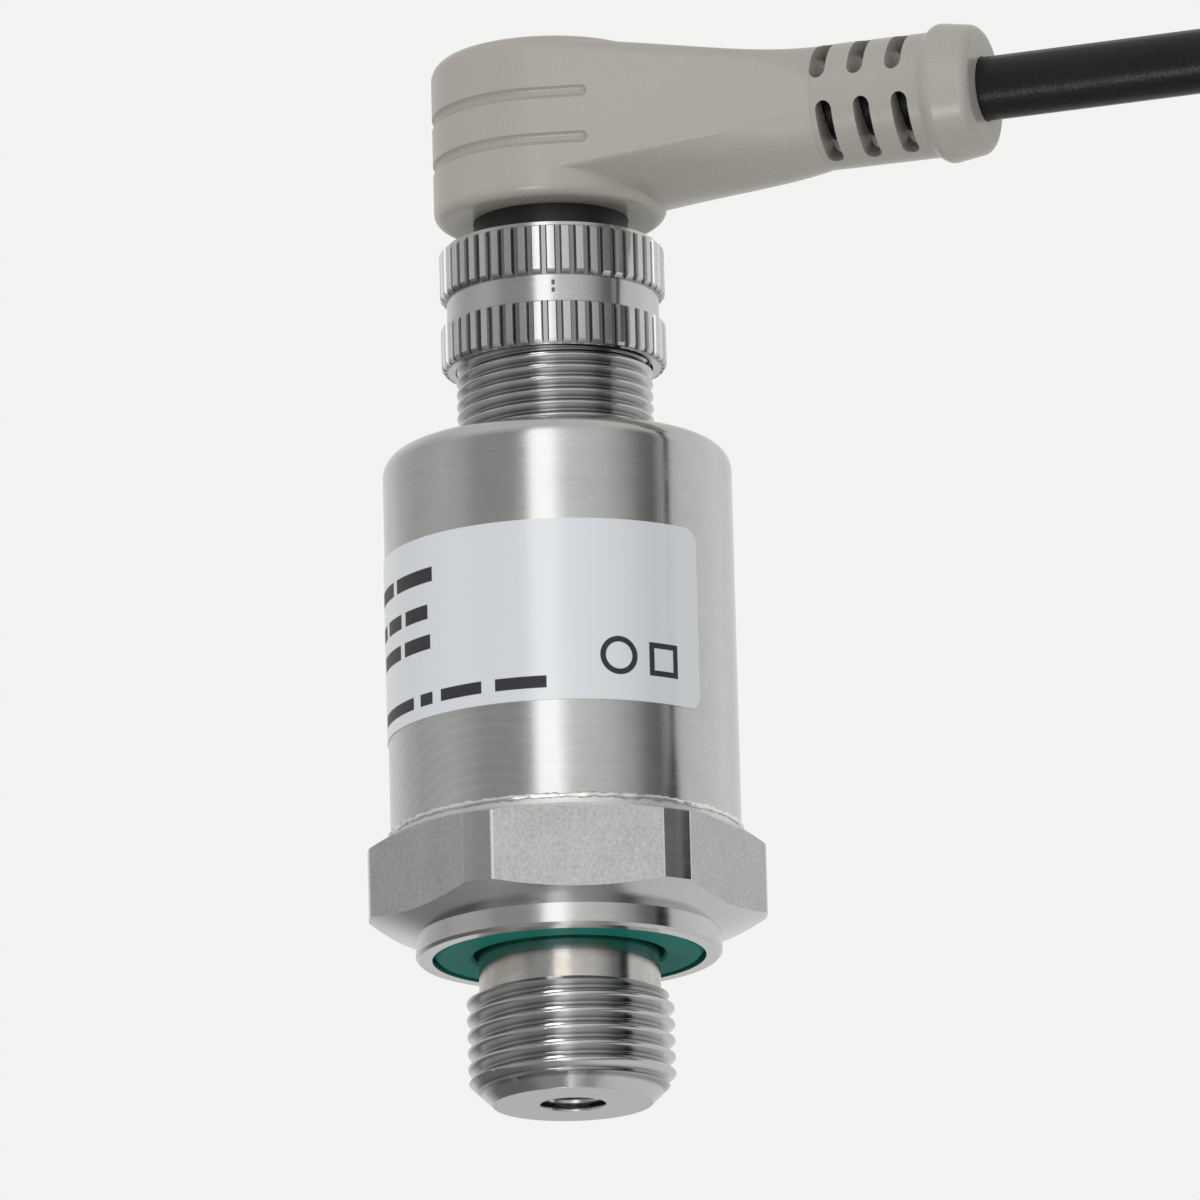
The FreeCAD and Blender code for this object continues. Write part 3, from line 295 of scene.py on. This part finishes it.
def soften(piece, cut):  # the thread's crests and roots are round, the other edges stay crisp
    low = cut["from"] * mm
    high = low + cut["pitch"] * cut["turns"] * mm
    inner = cut["rootRadius"] - threadForm["spareRadius"]
    outer = cut["crestRadius"] + threadForm["spareRadius"]
    bpy.ops.object.mode_set(mode="EDIT")
    bpy.ops.mesh.select_all(action="DESELECT")
    bpy.ops.object.mode_set(mode="OBJECT")
    points = piece.data.vertices
    for edge in piece.data.edges:
        ends = [points[i].co for i in edge.vertices]
        edge.select = all(low < end.z < high and inner < end.xy.length / mm < outer for end in ends)
    bpy.ops.object.mode_set(mode="EDIT")
    bpy.ops.mesh.select_mode(type="EDGE")
    bpy.ops.mesh.mark_sharp(clear=True)
    bpy.ops.mesh.select_all(action="DESELECT")
    bpy.ops.mesh.edges_select_sharp(sharpness=math.radians(threadForm["crispInThread"]))
    bpy.ops.mesh.mark_sharp()
    bpy.ops.mesh.select_mode(type="VERT")
    bpy.ops.object.mode_set(mode="OBJECT")


def threaded(nodeName, name, cut):  # the node's shape with its thread cut in
    groove = threadGroove(name + "Groove", cut)
    piece = copyOfNode(nodeName, name)
    carve = piece.modifiers.new("carve", "BOOLEAN")
    carve.operation = "DIFFERENCE"
    carve.solver = "EXACT"
    carve.object = groove
    bpy.ops.object.modifier_apply(modifier="carve")
    bpy.data.objects.remove(groove)
    bpy.ops.object.shade_smooth_by_angle(angle=math.radians(threadForm["crispFrom"]))
    soften(piece, cut)
    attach(piece, "transmitter")
    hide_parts(nodeName)
    print(name, len(piece.data.polygons), "faces")
    return piece


threadedFitting = threaded("process_fitting", "threadedFitting", portThread)
threadedConnector = threaded("connector_spigot", "threadedConnector", plugThread)

weld = {"height": 10.12, "radius": 14.06, "thickness": 0.23, "ripples": 0.09, "steps": 240, "seed": 4}


def addWeldBead():  # the fine bead where the sleeve meets the hexagon's seat
    bpy.ops.object.select_all(action="DESELECT")
    bpy.ops.mesh.primitive_torus_add(
        location=(0, 0, weld["height"] * mm), major_segments=weld["steps"], minor_segments=8,
        major_radius=weld["radius"] * mm, minor_radius=weld["thickness"] * mm,
    )
    bead = bpy.context.object
    bead.name = "weldBead"
    bpy.ops.object.transform_apply(location=True, rotation=False, scale=False)
    bpy.ops.object.mode_set(mode="EDIT")
    bpy.ops.transform.vertex_random(
        offset=weld["ripples"] * mm, uniform=0.2, normal=0.8, seed=weld["seed"]
    )
    bpy.ops.object.mode_set(mode="OBJECT")
    bpy.ops.object.shade_smooth()
    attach(bead, "transmitter")
    print("weld bead added")
    return bead


weldBead = addWeldBead()


def dress(things, material):  # things are pieces, or names of CAD nodes
    for thing in things:
        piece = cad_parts[thing] if isinstance(thing, str) else thing
        piece.data.materials.clear()
        piece.data.materials.append(material)


turned = {
    "tint": (0.6, 0.6, 0.6),
    "unevenness": 0.07,
    "rough": 0.14,
    "lineHeight": 0.0035,
    # fine and broad lines in each millimetre, and how they wander
    "fineLines": 14,
    "broadLines": 1.7,
    "wander": 0.25,
    "wanderSize": 9,
    "cloudSize": 2.4,
    "grainSize": 0.16,
}


def turnedSteel(name, rough=0.0, extra=None):  # fine lines run round the axis, as the lathe leaves them
    made = Finish(name, Metallic=1.0)
    along = made.radius + made.z
    wander = made.noise(turned["wanderSize"], 2) * turned["wander"]
    fineAt = made.at(made.x * 0.06, made.y * 0.06, (along + wander) * turned["fineLines"])
    broadAt = made.at(made.x * 0.05, made.y * 0.05, (along + wander * 3) * turned["broadLines"])
    fine = made.noise(1, 4, 0.6, fineAt)
    broad = made.noise(1, 2, 0.5, broadAt)
    cloud = made.noise(turned["cloudSize"], 4, 0.6)
    grain = made.noise(turned["grainSize"], 2)
    height = fine * 0.6 + broad * 0.3 + grain * 0.12
    level = (fine - 0.5) * 0.12 + (broad - 0.5) * 0.05 + (cloud - 0.5) * 0.1 + turned["rough"] + rough
    shade = (fine - 0.5) * 0.9 + (broad - 0.5) * 0.35 + (cloud - 0.5) * 0.8 + (grain - 0.5) * 0.5 + 0.5
    dark = tuple(c * (1 - turned["unevenness"] * 2) for c in turned["tint"])
    light = tuple(min(1, c * (1 + turned["unevenness"])) for c in turned["tint"])
    colour = made.mix(shade.clamped(), dark, light)
    if extra:
        colour, level, height = extra(made, colour, level, height)
    made.feed("Base Color", colour)
    made.feed("Roughness", level.clamped())
    made.bump(height, turned["lineHeight"])
    return made.material


def within(reach, places):  # rises over the first two places and falls over the last two
    start, full, fading, gone = places
    return reach.rise(start, full) * (1 - reach.rise(fading, gone))


# painted shade for the thread roots: its tone and how much of it is mixed in
paintedRootShade = {"tone": (0.12, 0.12, 0.12), "share": 0.6}
fitting = {
    # the flats lie between these heights and inside the bar's own radius
    "flats": (2.2, 9.2),
    "barRadius": (15.9, 15.94),
    "flatTones": ((0.4, 0.4, 0.4), (0.62, 0.62, 0.62)),
    "flatRough": 0.24,
    "speckSize": 0.27,
    "patchSize": 3.5,
    # the spigot's end face, the mouth of the bore, and the spacing of their rings
    "endFace": (-12.1, -11.98),
    "endRings": 0.42,
    "mouthRadius": (2.7, 2.75),
    "mouthTop": (-6, -5.5),
    "mouthRings": 0.8,
    # the strip under the weld bead, lightened as a painted highlight
    "weldSeat": (9.5, 10.06),
    "weldSeatRadius": (14.0, 14.05),
    "weldSeatHighlight": (0.86, 0.86, 0.85),
    # the relief neck and the thread below it
    "neck": (-3.3, 0.2),
    "neckRadius": (7.5, 7.6),
    "stain": (0.5, 0.43, 0.36),
    "thread": (-11.5, -3.3),
    "rootRadii": (7.2, 7.4, 7.5, 7.95),
}


def milledFlats(made, colour, level, height):  # the hexagon's bar faces are speckled and dull
    flats = made.z.between(*fitting["flats"], 0.05) * (1 - made.radius.rise(*fitting["barRadius"]))
    flats = flats * (1 - made.tool.maths("ABSOLUTE", made.facingUp).rise(0.2, 0.3))
    speck = made.noise(fitting["speckSize"], 3, 0.7)
    patch = made.noise(fitting["patchSize"], 2)
    spots = ((speck - 0.5) * 2.2 + (patch - 0.5) * 0.5 + 0.5).clamped()
    colour = made.mix(flats, colour, made.mix(spots, *fitting["flatTones"]))
    level = level + flats * (fitting["flatRough"] + (speck - 0.5) * 0.2)
    return colour, level, height * (1 - flats) + flats * speck * 6


def portEnd(made, colour, level, height):  # rings on the spigot's end face and in the mouth of the bore
    end = made.z.between(*fitting["endFace"], 0.01)
    height = height + end * (made.radius.wave(fitting["endRings"]) * 0.5 + 0.5) * 1.5
    mouth = (1 - made.radius.rise(*fitting["mouthRadius"])) * (1 - made.z.rise(*fitting["mouthTop"]))
    height = height + mouth * (made.z.wave(fitting["mouthRings"]) * 0.5 + 0.5) * 22
    return colour, level + end * 0.12, height


def fittingMarks(made, colour, level, height):
    colour, level, height = milledFlats(made, colour, level, height)
    colour, level, height = portEnd(made, colour, level, height)
    # painted highlight: the seat under the weld bead is lighter in colour and rougher
    seatHighlight = made.z.between(*fitting["weldSeat"], 0.04) * made.radius.rise(*fitting["weldSeatRadius"])
    colour = made.mix(seatHighlight, colour, fitting["weldSeatHighlight"])
    level = level + seatHighlight * 0.35
    # straw-coloured stain on the relief neck
    neck = made.z.between(*fitting["neck"], 0.2) * (1 - made.radius.rise(*fitting["neckRadius"]))
    stain = neck * made.noise(2.2, 2).rise(0.42, 0.62)
    colour = made.mix(stain * 0.7, colour, fitting["stain"])
    # painted shade in the thread's root
    shadedRoots = made.z.between(*fitting["thread"], 0.2) * within(made.radius, fitting["rootRadii"])
    return made.mix(shadedRoots * paintedRootShade["share"], colour, paintedRootShade["tone"]), level, height


connector = {"threadStart": (41.7, 41.8), "rootRadii": (7.2, 7.3, 7.38, 7.75)}


def connectorMarks(made, colour, level, height):
    # painted shade in the thread's roots
    shadedRoots = made.z.rise(*connector["threadStart"]) * within(made.radius, connector["rootRadii"])
    return made.mix(shadedRoots * paintedRootShade["share"], colour, paintedRootShade["tone"]), level, height


crescents = {
    "middleAngle": -100,
    "spacing": 0.9,
    "heights": (10.5, 17),
    "angles": (-150, -95),
    "tone": (0.74, 0.74, 0.74),
    "share": 0.2,
}


def sleeveMarks(made, colour, level, height):  # crescents that the tool left low on one side
    aside = made.angle - crescents["middleAngle"]
    reach = made.tool.maths("SQRT", made.z * made.z * 0.8 + aside * aside * 0.05)
    zone = made.z.between(*crescents["heights"], 1.5) * made.angle.between(*crescents["angles"], 20)
    arcs = reach.wave(crescents["spacing"]) * zone
    colour = made.mix((arcs * crescents["share"]).clamped(), colour, crescents["tone"])
    return colour, level, height


nut = {
    # a small punched mark in two halves on the plain band
    "markAngles": (-71.2, -69.6),
    "markHeights": (53.05, 54.0),
    "markGap": (53.4, 53.6),
    "markTone": (0.12, 0.11, 0.11),
    # the gaps between the teeth, darkened as painted shade, and the tips that are rubbed bright
    "gapRadii": (8.62, 8.66, 8.8, 9.02),
    "gapShade": (0.1, 0.1, 0.1),
    "tipRadii": (8.95, 9.1),
    "tipTone": (0.78, 0.78, 0.77),
}


def nutMarks(made, colour, level, height):
    mark = made.angle.between(*nut["markAngles"], 0.2) * made.z.between(*nut["markHeights"], 0.08)
    mark = mark * (1 - made.z.between(*nut["markGap"], 0.03))
    rubbed = made.radius.rise(*nut["tipRadii"]) * made.noise(0.5, 2)
    # painted shade darkens the gaps between the teeth
    colour = made.mix(within(made.radius, nut["gapRadii"]) * 0.6, colour, nut["gapShade"])
    colour = made.mix(mark, colour, nut["markTone"])
    return made.mix(rubbed * 0.4, colour, nut["tipTone"]), level, height


sleeveSteel = turnedSteel("sleeveSteel", 0.0, sleeveMarks)
fittingSteel = turnedSteel("fittingSteel", 0.02, fittingMarks)
connectorSteel = turnedSteel("connectorSteel", 0.02, connectorMarks)
nutPlating = turnedSteel("nutPlating", -0.02, nutMarks)
cellSteel = turnedSteel("cellSteel", 0.05)

plastic = {
    "colour": (0.37, 0.349, 0.316),
    "rough": 0.27,
    "grainSize": 0.25,
    "flowSize": 6,
    "relief": 0.008,
}


def mouldedGrey():
    made = Finish("mouldedGrey", Specular_IOR_Level=0.5)
    grain = made.noise(plastic["grainSize"], 3, 0.6)
    flow = made.noise(plastic["flowSize"], 3)
    dark = tuple(c * 0.93 for c in plastic["colour"])
    light = tuple(c * 1.04 for c in plastic["colour"])
    made.feed("Base Color", made.mix((grain * 0.35 + flow * 0.65).clamped(), dark, light))
    made.feed("Roughness", (grain - 0.5) * 0.12 + (flow - 0.5) * 0.1 + plastic["rough"])
    made.bump(grain * 0.3 + flow * 0.7, plastic["relief"])
    return made.material


# spread is how far the colour strays from its middle
def plain(name, colour, rough, grainSize=0.3, spread=0.12, grainHeight=0.01, **constants):
    made = Finish(name, **constants)
    grain = made.noise(grainSize, 3, 0.6)
    patch = made.noise(grainSize * 14, 2)
    dark = tuple(c * (1 - spread) for c in colour)
    light = tuple(min(1, c * (1 + spread)) for c in colour)
    made.feed("Base Color", made.mix((grain * 0.5 + patch * 0.5).clamped(), dark, light))
    made.feed("Roughness", (grain - 0.5) * 0.16 + (patch - 0.5) * 0.12 + rough)
    made.bump(grain, grainHeight)
    return made.material


label = {
    "film": (0.62, 0.648, 0.682),
    "ink": (0.014, 0.012, 0.014),
    # rows of bars: lower edge, upper edge, angles of the bars' ends about Z
    "rows": [
        (29.0, 30.15, [(-190, -168), (-165, -141), (-138, -117)]),
        (26.0, 27.15, [(-190, -150), (-147, -135), (-132, -119.5)]),
        (23.5, 24.65, [(-190, -158), (-155, -136), (-133, -118.5)]),
        (18.95, 19.9, [(-190, -160), (-155, -128), (-124, -118), (-114, -98), (-93, -76)]),
    ],
    # a ring and a square: angle and height of the middle, half size
    "ring": (-52.0, 21.6, 1.55),
    "square": (-35.8, 21.5, 1.35),
    "stroke": 0.42,
    # soft edges of the print, across the height and round the sleeve
    "edge": 0.05,
    "edgeAngle": 0.2,
    "rough": 0.3,
}


def printedLabel():
    made = Finish("printedLabel", Specular_IOR_Level=0.25, Coat_Roughness=0.18, Coat_IOR=2.1)
    edge, stroke = label["edge"], label["stroke"]
    ink = made.z * 0
    for low, high, bars in label["rows"]:
        row = made.z.between(low, high, edge)
        for start, stop in bars:
            ink = ink.larger(row * made.angle.between(start, stop, label["edgeAngle"]))
    across = made.radius * (math.pi / 180)
    angle, height, size = label["ring"]
    aside, above = (made.angle - angle) * across, made.z - height
    reach = made.tool.maths("SQRT", aside * aside + above * above)
    ink = ink.larger(reach.between(size - stroke, size, edge))
    angle, height, size = label["square"]
    aside = made.tool.maths("ABSOLUTE", (made.angle - angle) * across)
    above = made.tool.maths("ABSOLUTE", made.z - height)
    ink = ink.larger(aside.larger(above).between(size - stroke, size, edge))
    fleck = made.noise(0.2, 2)
    tone = made.noise(5, 2)
    pale = tuple(c * 0.97 for c in label["film"])
    film = made.mix((fleck * 0.4 + tone * 0.6).clamped(), pale, label["film"])
    made.feed("Base Color", made.mix(ink * (0.94 + fleck * 0.06), film, label["ink"]))
    made.feed("Roughness", label["rough"] + (fleck - 0.5) * 0.1 + ink * 0.12)
    made.feed("Coat Weight", 1 - ink)
    made.bump(fleck * 0.6 + ink * 0.5, 0.006)
    return made.material


cores = {
    "tones": ((0.42, 0.36, 0.26), (0.66, 0.64, 0.58)),
    "rough": 0.3,
    "toneSize": 1.1,
    "grainSize": 0.4,
}


def bandedCores():  # pale sheaths that differ a little from core to core
    made = Finish("coreSheath")
    tone = made.noise(cores["toneSize"], 1)
    made.feed("Base Color", made.mix(tone.rise(0.35, 0.65), *cores["tones"]))
    made.feed("Roughness", tone * 0.2 + cores["rough"])
    made.bump(made.noise(cores["grainSize"], 2), 0.01)
    return made.material


# colour, roughness, size of the grain, spread, height of the grain
leadSheath = plain("leadSheath", (0.0085, 0.0072, 0.0075), 0.31, 0.35, 0.2, 0.03, Specular_IOR_Level=0.3)
blackMoulding = plain("blackMoulding", (0.016, 0.013, 0.012), 0.38, 0.3, 0.2, 0.01, Specular_IOR_Level=0.4)
greenSeal = plain("greenSeal", (0.003, 0.155, 0.126), 0.5, 0.5, 0.18, 0.01, Specular_IOR_Level=0.05)
blackSeal = plain("blackSeal", (0.014, 0.014, 0.014), 0.5)
goldPlate = plain("goldPlate", (0.8, 0.56, 0.24), 0.24, 0.5, 0.06, 0.004, Metallic=1.0)
weldSteel = plain("weldSteel", (0.9, 0.9, 0.89), 0.3, 0.4, 0.12, 0.02, Metallic=1.0)
boardLacquer = plain("boardLacquer", (0.012, 0.11, 0.04), 0.3, 0.6)
amberFilm = plain("amberFilm", (0.5, 0.23, 0.04), 0.3, 0.5)

contactNumbers = range(1, 6)
dress([threadedFitting], fittingSteel)
dress([weldBead], weldSteel)
dress([threadedConnector], connectorSteel)
dress(["housing_sleeve"], sleeveSteel)
dress(["coupling_nut"], nutPlating)
dress(["measuring_cell"], cellSteel)
dress(["plug_housing"], mouldedGrey())
dress(["contact_carrier", "pin_carrier", "board_carrier", "cord_tie", "board_components"], blackMoulding)
dress(["cable_root"], leadSheath)
dress(["seal_ring"], greenSeal)
dress(["inner_seal_ring", "spigot_seal_ring", "face_seal"], blackSeal)
dress([f"{kind}_{i}" for kind in ("contact_pin", "socket_contact") for i in contactNumbers], goldPlate)
dress(["end_ferrules"], goldPlate)
dress([f"core_{i}" for i in contactNumbers] + ["end_cores"], bandedCores())
dress(["gauge_board", "main_board"], boardLacquer)
dress(["flex_lead", "strain_gauge"], amberFilm)
dress(["type_label"], printedLabel())
print("materials done")

studio = {
    "floorHeight": -340 * mm,
    "floorSize": 6,
    "background": (0.896, 0.896, 0.88),
    "softLight": 0.7,
    # brightness of the room round the object, by degrees to the right of the camera
    "bands": [
        (-180, 0.86), (-143, 0.82), (-124, 0.64), (-108, 0.54), (-80, 0.62), (-66, 0.54), (-54, 0.41),
        (-40, 0.41), (-30, 0.42), (-22, 0.6), (-16, 1.8), (-4, 1.85), (2, 1.2), (7, 0.95), (16, 0.86),
        (30, 0.75), (40, 0.6), (48, 0.46), (56, 0.26), (66, 0.16), (71, 0.4), (77, 0.66), (88, 0.82),
        (110, 0.9), (130, 0.97), (150, 0.86), (180, 0.86),
    ],
    # the share of it that carries on below, the two sides of the floor behind, and the ceiling
    "belowShare": 0.85,
    "belowBehind": (0.2, 0.85),
    "above": 0.75,
    "lampsAimAt": 30 * mm,
}
lamps = {
    # degrees to the right of the camera and above the level, distance, size, watts, seen in reflections
    "keyLamp": (-30, 35, 0.8, 0.35, 1.5, False),
    "lowLamp": (-21.5, -41, 0.42, 0.11, 0.28, True),
    "fillLamp": (35, 10, 0.9, 0.5, 0.7, False),
}


def addRoom():  # metal shows the room's light and dark sides, all else gets its soft light
    world = bpy.data.worlds.new("studioRoom")
    bpy.context.scene.world = world
    world.use_nodes = True
    world.node_tree.nodes.clear()
    tool = Maths(world.node_tree)
    where = tool.out(tool.node("ShaderNodeTexCoord"), "Generated")
    split = tool.node("ShaderNodeSeparateXYZ", None, Vector=where)
    x, y, z = (tool.out(split, axis) for axis in "XYZ")
    turn = tool.maths("ARCTAN2", x, -y) * (180 / math.pi) + (180 - view["azimuth"])
    stops = [((angle + 180) / 360, shade) for angle, shade in studio["bands"]]
    ring = tool.node("ShaderNodeValToRGB", {"stops": stops}, Fac=tool.maths("WRAP", turn, 360, 0) / 360)
    level = tool.out(tool.node("ShaderNodeRGBToBW", None, Color=tool.out(ring)))
    front, right = directionTo(view["azimuth"], 0), directionTo(view["azimuth"] + 90, 0)
    ahead, aside = x * front.x + y * front.y, x * right.x + y * right.y
    darkSide, lightSide = studio["belowBehind"]
    behind = darkSide + aside.rise(-0.35, 0.25) * (lightSide - darkSide)
    inFront = ahead.rise(-0.1, 0.2)
    below = behind * (1 - inFront) + level * inFront * studio["belowShare"]
    low, high = 1 - z.rise(-0.45, -0.15), z.rise(0.45, 0.8)
    level = level * (1 - low) * (1 - high) + below * low + high * studio["above"]
    rays = tool.node("ShaderNodeLightPath")
    kinds = ("Camera", "Glossy", "Transmission")
    camera, glossy, through = (tool.out(rays, f"Is {kind} Ray") for kind in kinds)
    strength = glossy * level + (1 - glossy)
    soft = tool.node("ShaderNodeBackground", None, Color=(1, 1, 1), Strength=studio["softLight"])
    seen = tool.node("ShaderNodeBackground", None, Color=studio["background"], Strength=strength)
    share = camera.larger(glossy).larger(through)
    both = tool.node("ShaderNodeMixShader", None, i0=share, i1=tool.out(soft), i2=tool.out(seen))
    tool.node("ShaderNodeOutputWorld", None, Surface=tool.out(both))
    print("room lit")


def addFloor():
    bpy.ops.object.select_all(action="DESELECT")
    bpy.ops.mesh.primitive_plane_add(size=studio["floorSize"], location=(0, 0, studio["floorHeight"]))
    floor = bpy.context.object
    floor.name = "floor"
    floor.visible_glossy = False
    paint = Finish("floorPaint", Roughness=0.9, Base_Color=(*studio["background"], 1))
    # the floor is clear from below
    side = paint.tool.node("ShaderNodeNewGeometry")
    clear = paint.tool.node("ShaderNodeBsdfTransparent")
    both = paint.tool.node("ShaderNodeMixShader", None, i0=paint.tool.out(side, "Backfacing"),
                           i1=Maths(paint.tree, paint.shader.outputs[0]), i2=paint.tool.out(clear))
    paint.tree.links.new(both.outputs[0], paint.tree.nodes["Material Output"].inputs["Surface"])
    floor.data.materials.append(paint.material)


def addLamp(name, azimuth, elevation, distance, size, power, inReflections):
    data = bpy.data.lights.new(name, "AREA")
    data.size = size
    data.energy = power
    lamp = bpy.data.objects.new(name, data)
    bpy.context.scene.collection.objects.link(lamp)
    back = directionTo(view["azimuth"] + azimuth, elevation)
    lamp.location = Vector((0, 0, studio["lampsAimAt"])) + back * distance
    lamp.rotation_euler = (-back).to_track_quat("-Z", "Y").to_euler()
    lamp.visible_glossy = inReflections


addRoom()
addFloor()
for name, values in lamps.items():
    addLamp(name, *values)
bpy.context.scene.view_settings.view_transform = "Standard"

lead = {
    "diameter": 5.2,
    "route": [(37.3, 0, 68.0), (56.0, 0, 68.15), (66.0, 0, 68.35), (79.6, 0, 59.0), (88.6, 0, 43.4),
              (88.6, 0, 27.4)],
    "coilRadius": 28.5,
    "pointsPerTurn": 16,
    # where each turn of the coil lies: layer from the middle one, place across in diameters
    "turns": [(1, -0.5), (1, 1.5), (1, 0.5), (0, -1), (0, 0), (0, 1), (-1, 1.5), (-1, 0.5), (-1, -0.5),
              (-1, -1.5), (1, -1.5)],
    "layerRise": 4.6,
    # the part of each turn in which the lead moves over to its next place
    "moveOver": (0.72, 0.98),
    # the coil leaves its middle plane, and comes back to it, over this share of a turn
    "leave": 0.3,
    # the last point before the straight drop lies this far above the lower length
    "dropFrom": 6,
}


def leadPoints():  # the route's points, then the coil's turns, then the hanging end
    points = [Vector(spot) for spot in lead["route"]]
    low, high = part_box("cord_coil")
    centre = (low + high) / 2 / mm
    turns = lead["turns"]
    steps = lead["pointsPerTurn"]
    start, stop = lead["moveOver"]
    for i in range(1, len(turns) * steps):
        turn, share = i // steps, i % steps / steps
        here, ahead = turns[turn], turns[min(turn + 1, len(turns) - 1)]
        ease = max(0, min(1, (share - start) / (stop - start)))
        ease = ease * ease * (3 - 2 * ease)
        layer, across = (a + (b - a) * ease for a, b in zip(here, ahead))
        if turn == 0:
            across *= min(1, share / lead["leave"])
        if turn == len(turns) - 1:
            across *= min(1, (1 - share) / lead["leave"])
        angle = math.pi + share * 2 * math.pi
        reach = lead["coilRadius"] + layer * lead["layerRise"]
        spot = (math.cos(angle) * reach, across * lead["diameter"], math.sin(angle) * reach)
        points.append(centre + Vector(spot))
    low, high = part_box("lead_tail")
    downX = lead["route"][-1][0]
    points.append(Vector((downX, 0, high.z / mm + lead["dropFrom"])))
    points.append(Vector((downX, 0, low.z / mm)))
    return points


def lineLength(line):  # measured on a copy without thickness
    thread = bpy.data.objects.new("threadOfLead", line.copy())
    thread.data.bevel_depth = 0
    mesh = bpy.data.meshes.new_from_object(thread)
    spots = [vertex.co.copy() for vertex in mesh.vertices]
    bpy.data.objects.remove(thread)
    bpy.data.meshes.remove(mesh)
    return sum((b - a).length for a, b in zip(spots, spots[1:]))


def addLead():
    points = leadPoints()
    line = bpy.data.curves.new("leadLine", "CURVE")
    line.dimensions = "3D"
    spline = line.splines.new("NURBS")
    spline.points.add(len(points) - 1)
    for spot, point in zip(spline.points, points):
        spot.co = (*(point * mm), 1)
    spline.order_u = 3
    spline.use_endpoint_u = True
    line.resolution_u = 6
    line.bevel_depth = lead["diameter"] / 2 * mm
    line.bevel_resolution = 6
    line.use_fill_caps = True
    line.materials.append(leadSheath)
    length = lineLength(line)
    piece = bpy.data.objects.new("leadCable", line)
    bpy.context.scene.collection.objects.link(piece)
    print("lead length", round(length, 3), "m")
    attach(piece, "plug")
    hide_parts("lead_cord", "cord_coil", "lead_tail")


addLead()
